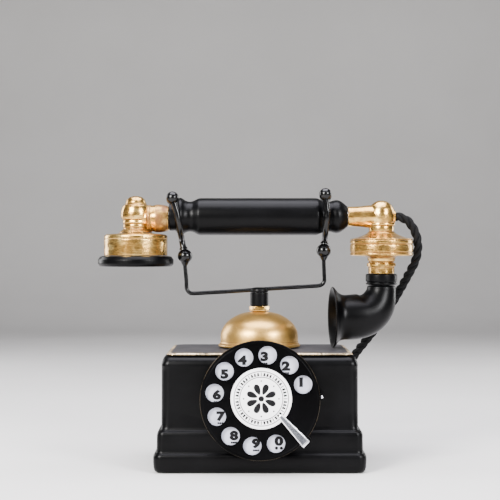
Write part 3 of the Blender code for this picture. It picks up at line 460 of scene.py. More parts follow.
def rounded_profile(profile, closed, radius):
    """Round a turned outline's corners. Gives (radius, along, hollow) with hollow 1 in a groove."""
    points = [Vector(p[:2]) for p in profile]
    count = len(points)
    area = sum(a.x * b.y - b.x * a.y for a, b in zip(points, points[1:] + points[:1]))
    rounded = []
    for i, point in enumerate(points):
        if not closed and i in (0, count - 1):
            rounded.append((point.x, point.y, 0.0))
            continue
        back, ahead = points[i - 1] - point, points[(i + 1) % count] - point
        turn = back.x * ahead.y - back.y * ahead.x
        bend = math.pi - back.angle(ahead)
        concave = 1.0 if (turn > 0) == (area > 0) else 0.0
        if bend < math.radians(14):
            rounded.append((point.x, point.y, concave * bend * 2))
            continue
        size = profile[i][2] if len(profile[i]) > 2 else radius
        reach = min(size * math.tan(bend / 2), 0.45 * back.length, 0.45 * ahead.length)
        start, end = point + back.normalized() * reach, point + ahead.normalized() * reach
        steps = max(3, int(bend / math.radians(18)))
        soft = min(1.3, 0.25 * back.length), min(1.3, 0.25 * ahead.length)
        if back.length * 0.5 > reach + soft[0]:
            far = point + back.normalized() * (reach + soft[0])
            rounded.append((far.x, far.y, 0.0))
        for step in range(steps + 1):
            t = step / steps
            place = start.lerp(point, t).lerp(point.lerp(end, t), t)
            rounded.append((place.x, place.y, concave))
        if ahead.length * 0.5 > reach + soft[1]:
            far = point + ahead.normalized() * (reach + soft[1])
            rounded.append((far.x, far.y, 0.0))
    return rounded


def smooth_curve(points, count_steps):
    """A smooth curve through the given points, with as many steps in a gap as its length asks for."""
    given = [Vector(p) for p in points]
    ends = [2 * given[0] - given[1]] + given + [2 * given[-1] - given[-2]]
    curve = [given[0]]
    for a, b, c, d in zip(ends, ends[1:], ends[2:], ends[3:]):
        steps = count_steps((c - b).length)
        for i in range(1, steps + 1):
            t = i / steps
            curve.append(0.5 * (2 * b + (c - a) * t + (2 * a - 5 * b + 4 * c - d) * t ** 2
                                + (3 * b - a - 3 * c + d) * t ** 3))
    return curve


def smooth_profile(profile, steps=4):
    """A turned outline's points, with a few steps between each two."""
    return [tuple(p) for p in smooth_curve(profile, lambda gap: steps)]


def smooth_route(points, spacing):
    """Points of a route, about one spacing apart."""
    return smooth_curve(points, lambda gap: max(1, round(gap / spacing)))


def add_turned(bm, profile, centre=(0, 0, 0), axis="Z", closed=False, radius=0.3,
               segments=SEGMENTS):
    rows = rounded_profile(profile, closed, radius)
    rings = [ring_points(max(r, 0.02), along, centre, axis, segments) for r, along, _ in rows]
    add_loft(bm, rings, closed, [hollow for _, _, hollow in rows])


def turned(name, profile, mat, body, stands_for=(), centre=(0, 0, 0), axis="Z", closed=False,
           radius=0.3, segments=SEGMENTS):
    bm = bmesh.new()
    add_turned(bm, profile, centre, axis, closed, radius, segments)
    return finish_mesh(name, bm, mat, body, stands_for)


def join_turned(piece, profile, centre=(0, 0, 0), axis="Z", radius=0.3, segments=SEGMENTS):
    bm = bmesh.new()
    add_turned(bm, profile, centre, axis, radius=radius, segments=segments)
    combine(piece, bm, "UNION")


def frames_along(path):
    """(point, side, up) along a path, without twist between neighbours."""
    tangents = [(path[min(i + 1, len(path) - 1)] - path[max(i - 1, 0)]).normalized()
                for i in range(len(path))]
    side = tangents[0].orthogonal().normalized()
    frames = []
    for point, tangent in zip(path, tangents):
        side = (side - tangent * side.dot(tangent)).normalized()
        frames.append((point, side, tangent.cross(side)))
    return frames


def add_swept(bm, path, radii, sides=24):
    rings = []
    for (point, side, up), radius in zip(frames_along(path), radii):
        rings.append([point + radius * (math.cos(math.tau * i / sides) * side
                                        + math.sin(math.tau * i / sides) * up)
                      for i in range(sides)])
    add_loft(bm, rings)


def box_mesh(bm, low, high):
    size = [b - a for a, b in zip(low, high)]
    middle = [(a + b) / 2 for a, b in zip(low, high)]
    bmesh.ops.create_cube(bm, size=1.0, matrix=Matrix.Translation(middle) @ Matrix.Diagonal((*size, 1)))


def sphere_mesh(bm, centre, radius, segments=40):
    bmesh.ops.create_uvsphere(bm, u_segments=segments, v_segments=segments // 2, radius=radius,
                              matrix=Matrix.Translation(centre))


# ---- cord

HANGING_ROUTE = [
    (102.2, 0, 184), (106.2, 0.2, 183.5), (111.6, 0.6, 180.6), (115.4, 1.2, 175.6), (118.3, 2, 169),
    (119.37, 3.6, 160), (118, 6.6, 151.2), (115, 10, 144), (111, 16, 135.2), (106, 23.4, 124.6),
    (99, 32, 111), (91, 40.6, 97.6), (83.4, 49, 86.4), (76.8, 56.6, 76.4), (71.2, 62.4, 64),
    (67.6, 67, 49.6), (65.4, 71.4, 36), (64.2, 76.8, 25.4), (63.4, 84, 18.4)]
COIL_CENTRE = Vector((28.0, 101.0, 0))
COIL_RADIUS = 35.0
COIL_STEPS = 28                     # points for each turn
GLAND_X, GLAND_Z, GLAND_END = -10.5, 8.2, 57.5
GROMMET_X = -42.0
ROPE_PITCH = 21.0


def ease(t):
    return t * t * (3 - 2 * t)


def coil_point(turn):
    """Top turn first, from the hanging cord. Then down to an inner turn, and out to the gland's side."""
    angle = math.tau * turn
    radius, height = COIL_RADIUS + 3.55, 3.55
    if turn < 0.75:
        radius, height = COIL_RADIUS, 10.0
    elif turn < 1.0:
        t = (turn - 0.75) / 0.25
        radius, height = COIL_RADIUS - 3.5 * (1 - (1 - t) ** 2), 10.0 - 6.45 * ease(t)
    elif turn < 1.5:
        radius = COIL_RADIUS - 3.5
    elif turn < 1.78:
        radius = COIL_RADIUS - 3.5 + 7.05 * ease((turn - 1.5) / 0.28)
    return COIL_CENTRE + Vector((radius * math.cos(angle), radius * math.sin(angle), height))


def cord_route():
    """The whole centreline: handset to coil, round the coil, and into the base's gland."""
    down = [Vector(p) for p in HANGING_ROUTE] + [Vector((63.0, 92.0, 12.4))]
    end_turn = 2.5
    steps = int(end_turn * COIL_STEPS)
    coil = [coil_point(end_turn * i / steps) for i in range(steps + 1)]
    coil[0].z += 0.4
    tail = [Vector((GLAND_X, 88.0, 3.6)), Vector((GLAND_X, 76.0, 3.7)),
            Vector((GLAND_X, 67.8, 5.2)), Vector((GLAND_X, 61.8, 7.45)),
            Vector((GLAND_X, GLAND_END + 0.3, GLAND_Z))]
    return smooth_route(down + coil + tail, 1.6)


def make_cord():
    """Three cotton-covered strands laid up round each other."""
    path = cord_route()
    strand_radius = CORD_RADIUS / (1 + 2 / math.sqrt(3))
    lay_radius = CORD_RADIUS - strand_radius
    frames = frames_along(path)
    bm = bmesh.new()
    place = bm.verts.layers.float_vector.new("strand")
    sides = 12
    for strand in range(3):
        run = 0.0
        centres, marks = [], []
        for i, (point, side, up) in enumerate(frames):
            if i:
                run += (point - path[i - 1]).length
            angle = math.tau * (run / ROPE_PITCH + strand / 3)
            centres.append(point + lay_radius * (math.cos(angle) * side + math.sin(angle) * up))
            marks.append(run)
        rows = []
        for (point, side, up), mark in zip(frames_along(centres), marks):
            row = []
            for k in range(sides):
                angle = math.tau * k / sides
                vertex = bm.verts.new(point + strand_radius * (math.cos(angle) * side
                                                               + math.sin(angle) * up))
                vertex[place] = (mark * MM, k / sides, strand)
                row.append(vertex)
            rows.append(row)
        for low, high in zip(rows, rows[1:]):
            for k in range(sides):
                n = (k + 1) % sides
                bm.faces.new((low[k], low[n], high[n], high[k]))
        bm.faces.new(rows[0])
        bm.faces.new(rows[-1])
    rope = finish_mesh("handset_rope", bm, "rope", None, smooth=None)
    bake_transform(rope)
    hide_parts("handset_cord", "cord_tail", "cord_coil")


make_cord()


# ---- base

PLINTH_X, PLINTH_Y, CASING_TOP = 76.2, 52.5, 85.2
SHOULDER, SHOULDER_REACH = 9.5, 6.8


def rounded_rectangle(half_x, half_y, radius, z, steps=7):
    points = []
    for side_x, side_y, start in ((1, 1, 0), (-1, 1, 90), (-1, -1, 180), (1, -1, 270)):
        middle_x, middle_y = side_x * (half_x - radius), side_y * (half_y - radius)
        for i in range(steps + 1):
            angle = math.radians(start + 90 * i / steps)
            points.append(Vector((middle_x + radius * math.cos(angle),
                                  middle_y + radius * math.sin(angle), z)))
    return points


def casing_rings():
    """Outer skin from the rim up: plinth, second tier, body, shoulders, lid line and crown."""
    rows = (
        (0.85, 2.1, 4.8), (1.2, 1.5, 5.2), (2.2, 0.8, 5.8), (4, 0.35, 6), (7.5, 0.08, 6), (10.8, 0.05, 6),
        (12.2, 0.2, 6), (13.1, 0.55, 5.8), (13.7, 1, 5.6), (13.95, 1.35, 5.5), (14.1, 1.7, 5.4),
        (14.5, 2, 5.2), (15.3, 2.3, 5), (16.6, 2.45, 5), (20, 2.5, 5), (26.2, 2.6, 5), (27.8, 2.75, 5),
        (28.9, 3.1, 4.8), (29.5, 3.6, 4.6), (29.8, 4.2, 4.4), (30.2, 4.8, 4.6), (31.2, 5.3, 5),
        (33, 5.6, 5.8), (45, 5.65, 6.5), (60, 5.7, 6.5), (72, 5.75, 6.5), (75.5, 5.75, 6.5))
    rings = [rounded_rectangle(PLINTH_X - inset, PLINTH_Y - inset, radius, z)
             for z, inset, radius in rows]
    side, face = PLINTH_X - 5.75, PLINTH_Y - 5.75
    # height, set-back of the front and back faces, cut into the shoulders
    shoulder = (
        (76, 0, 0), (77.4, 0.15, 0), (78.6, 0.45, 0), (79.7, 0.95, 0), (80.7, 1.6, 0), (81.5, 2.4, 0),
        (82.1, 3.2, 0), (82.55, 4, 0.1), (82.9, 4.8, 0.3), (83.15, 5.4, 0.6), (83.4, 5.5, 0.7),
        (83.6, 5.2, 0.6), (83.75, 3.9, 0.2), (83.95, 3.5, 0), (84.4, 3.4, 0), (84.85, 3.6, 0),
        (85.05, 4.1, 0.1), (85.17, 5, 0.7))
    for z, back, cut in shoulder:
        rise = min(1.0, (z - CASING_TOP + SHOULDER) / SHOULDER)
        half = side - SHOULDER_REACH * (1 - math.sqrt(max(0.0, 1 - rise * rise))) - cut
        rings.append(rounded_rectangle(half, face - back, 5.5, z))
    for share, rise in ((0.93, 0.10), (0.82, 0.32), (0.66, 0.55), (0.45, 0.75), (0.2, 0.9)):
        rings.append(rounded_rectangle((side - SHOULDER_REACH) * share, (face - 2.5) * share, 3.0,
                                       CASING_TOP + rise))
    return rings


def casing_inner_rings():
    rows = (
        (0.85, 3.7, 4), (12, 3.2, 4), (15, 5, 3), (28.4, 5.2, 3), (31.4, 8.2, 2.5), (75.7, 8.8, 2.5),
        (79, 10.5, 2.5), (82, 16, 2.5))
    return [rounded_rectangle(PLINTH_X - inset, PLINTH_Y - min(inset, 12.0), radius, z)
            for z, inset, radius in rows]


def edge_wear(co):
    """Worn along the lid's front and back edges, with a touch on the shoulders' corners."""
    lid = 1.0 if 83.9 < co.z < 85.16 and abs(co.y) > 36.0 else 0.0
    return lid * (1.0 if co.z < 85.05 else 0.8)


def make_casing():
    bm = bmesh.new()
    add_loft(bm, casing_inner_rings()[::-1] + casing_rings())
    casing = finish_mesh("casing_body", bm, "black", "base", ["base_casing"])
    join_turned(casing, [(31.5, -53.0), (31.5, -43.4)], (0, 0, DIAL_Z), "Y", 0.6)
    bm = bmesh.new()
    add_turned(bm, [(28.0, -60.0), (28.0, -40.0)], (0, 0, DIAL_Z), "Y", segments=64)
    add_turned(bm, [(4.9, 70.0), (4.9, 92.0)], segments=32)
    box_mesh(bm, (14.0, 9.6, 76.0), (24.0, 14.4, 92.0))
    for x in (GLAND_X, GROMMET_X):
        add_turned(bm, [(4.6, 40.0), (4.6, 60.0)], (x, 0, GLAND_Z), "Y", segments=32)
    combine(casing, bm, "DIFFERENCE")
    casing.data.set_sharp_from_angle(angle=SMOOTH_ANGLE)
    set_attribute(casing, "wear", edge_wear)
    # the lid's top face: its black is painted a lighter grey there as a painted sheen, and made rougher
    set_attribute(casing, "lid", lambda co: 1.0 if co.z > 85.1 else 0.0)


def make_base_trim():
    bm = bmesh.new()
    add_loft(bm, [rounded_rectangle(71.0 - inset, 47.4 - inset, 3.5, z)
                  for z, inset in ((0, 0.25), (0.1, 0.05), (0.6, 0), (1.1, 0.05), (1.2, 0.2))])
    finish_mesh("desk_felt", bm, "felt", "base", ["felt_pad"])
    profile = [(3.9, 47.5), (4.3, 47.5), (4.3, 52.8), (6, 52.8), (5.7, 54.6), (4.7, 57.4), (3.9, 57.4)]
    turned("cord_bush", profile, "brass", "base", ["base_cord_gland"], (GLAND_X, 0, GLAND_Z), "Y",
           True, 0.4, 48)
    profile = [(2.6, 47.5), (4.3, 47.5), (4.3, 52.8), (5.6, 52.8), (5.2, 54.4), (2.6, 54.4)]
    turned("line_inlet", profile, "rubber", "base", ["line_grommet"], (GROMMET_X, 0, GLAND_Z), "Y",
           True, 0.5, 40)


# ---- bell and post

def make_bell():
    dome = smooth_profile([(29, 91), (29, 94.5), (28.4, 98.2), (26.7, 101.8), (24.6, 104.6),
                           (21.9, 107), (18, 109.4), (14, 111.2), (9, 112.4), (4.9, 112.9)])
    lip = [(30.4, 87), (30.7, 88), (30.2, 88.7), (29.4, 89.3)]
    inner = smooth_profile([(4.9, 111.2), (9, 110.8), (17, 107.9), (22.6, 104.2),
                            (25.6, 100.6), (27.2, 96), (27.2, 90), (29, 87)], 2)
    turned("bell_dome", lip + dome + inner, "bell", "base", ["bell_gong"], closed=True,
           radius=0.5, segments=FINE_SEGMENTS)
    bm = bmesh.new()
    rings = []
    for size, z in ((5.8, 113.2), (7, 113.2), (7.35, 113.5), (7.35, 116.6), (7, 117.1), (5.8, 117.1)):
        rings.append([Vector((size * math.cos(math.tau * i / 6), size * math.sin(math.tau * i / 6), z))
                      for i in range(6)])
    add_loft(bm, rings, True)
    nut = finish_mesh("bell_hex_nut", bm, "gold_z", "base", ["bell_nut"])
    bevel(nut, 0.35)
    profile = [(3.2, 66), (4.6, 66), (4.6, 117.4), (6.8, 117.4), (6.8, 127), (3.2, 127)]
    turned("post_sleeve", profile, "black", "base", ["stem_sleeve"], closed=True, radius=0.35)


# ---- cradle

def make_crossbar():
    drop = Vector((0, 0, -BALL_RADIUS - 1.6))
    bends = (
        (-54.9, 138), (-54.6, 131.6), (-54.2, 129.2), (-52.6, 127.1), (-49.6, 126.4), (-38, 127),
        (-20, 128), (0, 129.4), (22, 130.8), (38, 131.7), (44, 132.1), (46.8, 133), (48.5, 135),
        (48.8, 137.6), (48.6, 143))
    points = [LEFT_BALL + drop] + [Vector((x, 0, z)) for x, z in bends] + [RIGHT_BALL + drop]
    path = smooth_route(points, 1.2)
    bm = bmesh.new()
    add_swept(bm, path, [WIRE_RADIUS] * len(path), 20)
    finish_mesh("cradle_bar", bm, "gloss", "cradle", ["cradle_crossbar"])
    cap = [
        (0.02, 127.3), (6.6, 127.3), (6.7, 128.6), (6.3, 129.8), (5.2, 130.7), (3, 131.1), (0.02, 131.2)]
    turned("cradle_cap", cap, "black", "cradle", radius=0.4, segments=56)


def make_ball(name, node, centre):
    """A turned ball with a small stepped cone under it."""
    profile = [
        (0.02, -BALL_RADIUS - 1.8), (1.7, -BALL_RADIUS - 1.8), (2.1, -BALL_RADIUS - 1.0),
        (3.0, -BALL_RADIUS + 0.6)]
    for i in range(8, 41):
        angle = math.pi * i / 40
        profile.append((BALL_RADIUS * math.sin(angle), -BALL_RADIUS * math.cos(angle)))
    turned(name, profile, "gloss", "cradle", [node], centre, radius=0.3, segments=48)


def make_fork(name, node, ball, middle_x, tip, yaw):
    """A leaning U of round rod on a short stem, with balls on its tips."""
    centre = Vector((middle_x, 0, HANDSET_Z))
    up = (centre - ball).normalized()
    front = Vector((math.sin(yaw), -math.cos(yaw), 0))
    rise = Vector((tip[0], 0, tip[1]))
    half = [centre + FORK_RADIUS * (math.cos(math.pi * i / 32) * front - math.sin(math.pi * i / 32) * up)
            for i in range(33)]
    prong = [rise * 0.9, rise * 0.62, rise * 0.34 + up * 0.3, up * 3.0 + rise * 0.03]
    path = [half[0] + step for step in prong] + half + [half[-1] + step for step in prong[::-1]]
    bm = bmesh.new()
    add_swept(bm, path, [PRONG_RADIUS] * len(path), 28)
    fork = finish_mesh(name, bm, "gloss", "cradle", [node])
    bm = bmesh.new()
    stem = [ball + up * (BALL_RADIUS - 0.3), ball + up * (BALL_RADIUS + 0.7),
            ball + up * (BALL_RADIUS + 1.6), centre - up * (FORK_RADIUS + 0.2)]
    add_swept(bm, stem, [3.2, 3.0, 2.3, 2.3], 28)
    combine(fork, bm, "UNION")
    for side in (front, -front):
        ball_place = centre + side * FORK_RADIUS + rise
        bm = bmesh.new()
        sphere_mesh(bm, ball_place, TIP_RADIUS)
        combine(fork, bm, "UNION")
    finish_casting(fork)


def make_cradle():
    make_crossbar()
    make_ball("left_ball", "cradle_ball_left", LEFT_BALL)
    make_ball("right_ball", "cradle_ball_right", RIGHT_BALL)
    make_fork("left_fork", "cradle_fork_left", LEFT_BALL, -61.4, (-3.8, 13.5), math.radians(3.5))
    make_fork("right_fork", "cradle_fork_right", RIGHT_BALL, 50.8, (-1.2, 16.0), math.radians(-3.4))


# ---- handset

def make_grip():
    left = smooth_profile([(10.6, -62.6), (11.6, -61.9), (13.4, -60.9), (14.2, -59.4), (13.8, -57.9),
                           (12.3, -55.6), (11.3, -52.8), (11.6, -50), (12.8, -47.4), (13.7, -45.4),
                           (13.9, -43.8)])
    right = smooth_profile([(13.9, 42), (13.6, 43.8), (12.6, 45.8), (11.5, 48.2), (11.2, 51),
                            (11.5, 53.6), (12.1, 55.6), (12.4, 57.4), (12.3, 59), (11.6, 60.8),
                            (10.6, 62.4), (9.4, 63.9), (8.2, 65.2)])
    profile = ([(4.3, -67.5), (9.8, -67.5), (10.6, -66.8)] + left + right
               + [(7.9, 65.8), (4.3, 65.8)])
    turned("handset_handle", profile, "black", "handset", ["handset_grip"], (0, 0, HANDSET_Z), "X",
           True, 0.5, 96)


def make_receiver():
    place = (EAR_X, 0, 0)
    stack = [
        (0.02, 172), (12.4, 172), (12.2, 172.5), (11, 173.3), (9.6, 174.6, 0.8), (9.1, 175.6), (9.5, 176),
        (9.6, 177, 0.5), (9.5, 178), (8.4, 178.3, 0.2), (9.6, 178.7), (9.8, 180, 0.5), (9.6, 181.2),
        (9.2, 181.6, 0.2), (10.5, 182)]
    bulb = smooth_profile([(10.5, 182), (11.1, 184.5), (10.9, 188), (10.2, 190.8), (9.5, 192.3)], 3)
    top = smooth_profile([(8.3, 193), (7.7, 194.2), (6.9, 196.4), (5.2, 198.2), (2.8, 199.2),
                          (0.02, 199.4)], 3)
    bm = bmesh.new()
    add_turned(bm, stack + bulb[1:] + top, place, radius=0.35)
    elbow = finish_mesh("receiver_arm", bm, "gold_x", "handset", ["receiver_elbow"])
    barrel = [(7.5, -93), (8.8, -84.4), (9.9, -83.8), (10.1, -82.4), (9.9, -81), (9.6, -80.3)]
    barrel += smooth_profile([(9.7, -80), (10.4, -76), (9.9, -71.2), (9, -67.9)], 4)[1:]
    join_turned(elbow, [(0.02, -93.0)] + barrel + [(0.02, -67.9)], (0, 0, HANDSET_Z - 1.4), "X", 0.4)
    finish_casting(elbow)
    profile = [
        (3, 171.7), (12.6, 171.7), (14, 171.3, 1.5), (22, 170.7), (23.7, 169.7, 1.2), (23.7, 167.6),
        (23.45, 167.2, 0.2), (23.7, 166.8), (23.7, 154.8), (21.6, 154.8), (21.6, 168.6), (3, 168.6)]
    turned("receiver_drum", profile, "gold_z", "handset", ["receiver_case"], place, closed=True,
           radius=0.5, segments=FINE_SEGMENTS)
    profile = [
        (4, 149.9), (13, 149, 3), (21, 147.2, 2), (24, 146.5, 1.2), (27, 146.7, 1.8), (28.3, 148.8, 1.6),
        (28.3, 151.8, 1.4), (26.8, 154, 1), (25, 154.5), (4, 154.5)]
    turned("ear_piece", profile, "black", "handset", ["ear_cap"], place, closed=True, radius=0.6,
           segments=FINE_SEGMENTS)


def make_transmitter():
    place = (MOUTH_X, 0, 0)
    flare = smooth_profile([(23.3, 167.3), (19, 168.1), (14.6, 169.6), (11.4, 171.2), (10, 172.4)], 3)
    foot = [(0.02, 166.6), (23.0, 166.6), (23.4, 166.9)]
    neck = [
        (9.2, 173, 0.3), (9.3, 173.9), (9.4, 175.4, 0.5), (9.2, 176.8), (8.9, 177, 0.2), (10.2, 177.4),
        (10.35, 178.2, 0.5), (10.2, 179.1), (9.4, 179.6, 0.3)]
    bulb = smooth_profile([
        (9.5, 180), (9.85, 183), (9.9, 186), (9.4, 189), (8.4, 191.4), (6.8, 193.5), (4.6, 195.1),
        (2.3, 195.9), (0.02, 196.1)], 3)
    bm = bmesh.new()
    add_turned(bm, foot + flare + neck + bulb, place, radius=0.35)
    elbow = finish_mesh("mouth_arm", bm, "gold_x", "handset", ["mouth_elbow"])
    arm = smooth_profile([(7.4, 66.3), (7.5, 70), (7.8, 76), (8.5, 82), (8.6, 91)], 3)
    join_turned(elbow, [(0.02, 66.3)] + arm + [(0.02, 91.0)], (0, 0, HANDSET_Z), "X", 0.4)
    join_turned(elbow, [(0.02, 92), (4.9, 92), (4.9, 101.3), (4.3, 101.9), (0.02, 101.9)],
                (0, 0, HANDSET_Z), "X", 0.4, 48)
    finish_casting(elbow)
    profile = [
        (19.8, 166.3), (23.2, 166.3), (23.5, 166), (23.5, 164.1), (22.9, 163.7, 0.2), (22.9, 163.1, 0.2),
        (23.5, 162.7), (23.5, 157.7), (22.9, 157.4, 0.2), (22.9, 156.9, 0.2), (23.5, 156.5),
        (23.4, 155.2), (22.4, 154.7), (12, 154.3, 1.2), (10.5, 153.2, 0.8), (10.2, 150.9),
        (9.4, 150.4, 0.3), (9.4, 149.6, 0.3), (10.8, 149), (10.8, 146.9), (9.8, 146.2, 0.4), (9.7, 144),
        (9.8, 141.4), (5.2, 141.4), (5.2, 156.8), (19.8, 156.8)]
    turned("transmitter_drum", profile, "gold_z", "handset", ["transmitter_case"], place, closed=True,
           radius=0.4, segments=FINE_SEGMENTS)
    profile = [
        (5.4, 132.9), (11, 132.9), (11.6, 133.4), (11.6, 134.2), (10.8, 134.6, 0.2), (10.8, 135, 0.2),
        (11.7, 135.5), (11.8, 137.8, 2), (11.7, 140.4), (11.1, 141.1), (5.4, 141.1)]
    turned("horn_ring", profile, "black", "handset", ["horn_collar"], place, closed=True, radius=0.4)


HORN_SKIN = (
    (0, 132.6, 10.6), (0, 131, 10.75), (0, 129.4, 10.9), (0.3, 127, 11.3), (0.8, 124.6, 12),
    (1.7, 121.6, 12.9), (3.1, 118.6, 13.8), (5, 115.8, 14.7), (7.4, 113.4, 15.4), (10.2, 111.5, 16),
    (13.4, 110.2, 16.5), (17, 109.4, 16.8), (20.9, 108.9, 16.9), (25, 108.7, 16.85), (28, 108.6, 16.7),
    (30.4, 108.65, 17), (32.2, 108.7, 17.9), (33.7, 108.7, 19.4), (35.1, 108.7, 21.3), (36, 108.7, 22.5),
    (36.6, 108.7, 22.9), (37.1, 108.7, 22.8))
HORN_BORE = (
    (37.4, 108.7, 22.4), (37.3, 108.7, 21.9), (36.5, 108.7, 21), (34.9, 108.7, 19.4), (32.2, 108.7, 17.1),
    (29, 108.8, 15.2), (25, 108.85, 14.2), (21, 109, 13.5), (17, 109.7, 12.5), (13.2, 110.8, 11.3),
    (10, 112.5, 10.1), (7.4, 114.6, 8.8), (5, 117, 7.7), (3.2, 119.6, 6.8), (1.8, 122.4, 6.1),
    (0.9, 125.2, 5.6), (0.3, 128, 5.3), (0, 130, 5.2), (0, 132.6, 5.2))


def make_horn():
    turn = math.radians(4.5)
    out = Vector((-math.cos(turn), -math.sin(turn), 0))
    side = out.cross(Vector((0, 0, 1)))
    sides, rings = 72, []
    for section in (HORN_SKIN, HORN_BORE):
        path = [Vector((MOUTH_X, 0, z)) + out * along for along, z, _ in section]
        for i, point in enumerate(path):
            run = path[min(i + 1, len(path) - 1)] - path[max(i - 1, 0)]
            if run.dot(out - Vector((0, 0, 1))) < 0:
                run = -run
            up = side.cross(run.normalized())
            radius = section[i][2]
            rings.append([point + radius * (math.cos(math.tau * k / sides) * side
                                            + math.sin(math.tau * k / sides) * up) for k in range(sides)])
    bm = bmesh.new()
    add_loft(bm, rings, True)
    horn = finish_mesh("speaking_horn", bm, "black", "handset", ["mouth_horn"])
    change = horn.modifiers.new("fair", "SUBSURF")
    change.levels = change.render_levels = 1
    apply_modifiers(horn)


# ---- dial

def make_dial_body():
    profile = [
        (4.5, -58.2), (40.6, -58.2), (41.3, -57.9), (41.6, -57.2), (41.6, -54.2), (41.2, -53.3),
        (27.6, -53.3), (27.6, -38), (25.6, -38), (25.6, -56.2), (4.5, -56.2)]
    cup = turned("dial_pan", profile, "black", "base", ["dial_cup"], (0, 0, DIAL_Z), "Y", True, 0.4,
                 FINE_SEGMENTS)
    for angle, width in ((STOP_ANGLE, 9.0), (PIN_ANGLE, 4.6)):
        bm = bmesh.new()
        box_mesh(bm, (36.0, -57.2, -width / 2), (45.2, -53.7, width / 2))
        turn = Matrix.Translation((0, 0, DIAL_Z)) @ Matrix.Rotation(math.radians(-angle), 4, "Y")
        bmesh.ops.transform(bm, matrix=turn, verts=bm.verts)
        combine(cup, bm, "UNION")
    cup.data.set_sharp_from_angle(angle=SMOOTH_ANGLE)
    turned("number_disc", [(5, -58.5), (41, -58.5), (41, -59.3), (5, -59.4)], "plate", "base",
           ["number_plate"], (0, 0, DIAL_Z), "Y", True, 0.2, FINE_SEGMENTS)
    turn = math.radians(PIN_ANGLE)
    place = (43.6 * math.cos(turn), 0, DIAL_Z + 43.6 * math.sin(turn))
    profile = [(0.02, -57.5), (1.2, -57.5), (1.2, -58.3), (0.8, -58.9, 0.5), (0.02, -59)]
    turned("rim_pin", profile, "steel", "base", ["dial_rim_screw"], place, "Y", radius=0.2, segments=32)


def hole_centre(number):
    angle = math.radians(FIRST_HOLE + HOLE_STEP * number)
    return HOLE_CIRCLE * math.cos(angle), DIAL_Z + HOLE_CIRCLE * math.sin(angle)


# the middles of the figures 1 to 9 and 0, from the dial's centre
FIGURES = (
    (28.9, 12.4), (18.3, 23.8), (3.2, 30.5), (-12.3, 27.9), (-24.9, 18.2), (-30.4, 3.5), (-27.8, -11.4),
    (-18.3, -25.1), (-2.8, -30.6), (13.3, -29))


def make_digits():
    """Black figures on the number plate, each set towards the hole's inner side."""
    for number, (x, z) in zip("1234567890", FIGURES):
        figure = bpy.data.curves.new(f"figure_{number}", "FONT")
        figure.body = number
        figure.size = 8.1 * MM
        figure.bevel_depth = 0.6 * MM
        figure.bevel_resolution = 1
        figure.align_x, figure.align_y = "CENTER", "CENTER"
        figure.resolution_u = 6
        holder = add_object(figure.name, figure)
        graph = bpy.context.evaluated_depsgraph_get()
        graph.update()
        mesh = bpy.data.meshes.new_from_object(holder.evaluated_get(graph))
        bpy.data.objects.remove(holder, do_unlink=True)
        mesh.transform(Matrix.Translation((x * MM, -59.42 * MM, (DIAL_Z + z) * MM))
                       @ Matrix.Rotation(math.radians(90), 4, "X") @ Matrix.Diagonal((1.3, 1, 0.12, 1)))
        mesh.materials.clear()
        mesh.materials.append(MAT["digit"])
        piece = add_object(f"digit_{number}", mesh)
        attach(piece, "base")


# side step and radius of the dots under each of 2 to 9, and under 0
THREE_DOTS = ((-1.5, 0.75), (0.0, 0.75), (1.5, 0.75))
TWO_DOTS = ((-1.65, 1.15), (1.65, 1.15))


def make_dots():
    """Printed dots under every figure but the first."""
    bm = bmesh.new()
    for dots, (x, z) in zip(8 * [THREE_DOTS] + [TWO_DOTS], FIGURES[1:]):
        for step, size in dots:
            add_turned(bm, [(0.02, -59.5), (size, -59.5), (size, -59.3), (0.02, -59.3)],
                       (x + step, 0, DIAL_Z + z - 4.6), "Y", segments=16)
    finish_mesh("figure_dots", bm, "digit", "base")


def make_wheel():
    f, b, r = WHEEL_FRONT, WHEEL_BACK, WHEEL_RADIUS
    profile = [
        (3.3, b), (r - 0.5, b), (r, b - 0.6), (r, f + 0.5), (r - 0.5, f), (r - 1.6, f),
        (r - 1.9, f + 0.15), (r - 2.2, f), (3.3, f)]
    wheel = turned("finger_disc", profile, "disc", "finger_wheel", ["finger_wheel"], (0, 0, DIAL_Z), "Y",
                   True, 0.25, 144)
    bm = bmesh.new()
    for number in range(10):
        x, z = hole_centre(number)
        add_turned(bm, [(HOLE_RADIUS, f - 3), (HOLE_RADIUS, b + 3)], (x, 0, z), "Y", segments=48)
    combine(wheel, bm, "DIFFERENCE")
    bevel(wheel, 0.3, 50)
    set_attribute(wheel, "wear", wheel_wear)


def wheel_wear(co):
    """Olive-gold rubbed rim."""
    out = math.hypot(co.x, co.z - DIAL_Z)
    return 0.05 if out > 42.0 else 0.0


def flat_piece(name, outlines, mat, body, front, back):
    """Flat marks on the card, from outlines about its middle, between two depths."""
    bm = bmesh.new()
    for outline in outlines:
        rings = [[Vector((LABEL_X + x, y, LABEL_Z + z)) for x, z in outline] for y in (front, back)]
        add_loft(bm, rings)
    return finish_mesh(name, bm, mat, body)


def spoke(share):
    """Unit vectors along and across a spoke of the card, at a share of the whole turn."""
    angle = math.tau * share
    return Vector((math.cos(angle), math.sin(angle))), Vector((-math.sin(angle), math.cos(angle)))


def circle(radius, count=72, centre=(0.0, 0.0)):
    return [(centre[0] + radius * math.cos(math.tau * i / count),
             centre[1] + radius * math.sin(math.tau * i / count)) for i in range(count)]


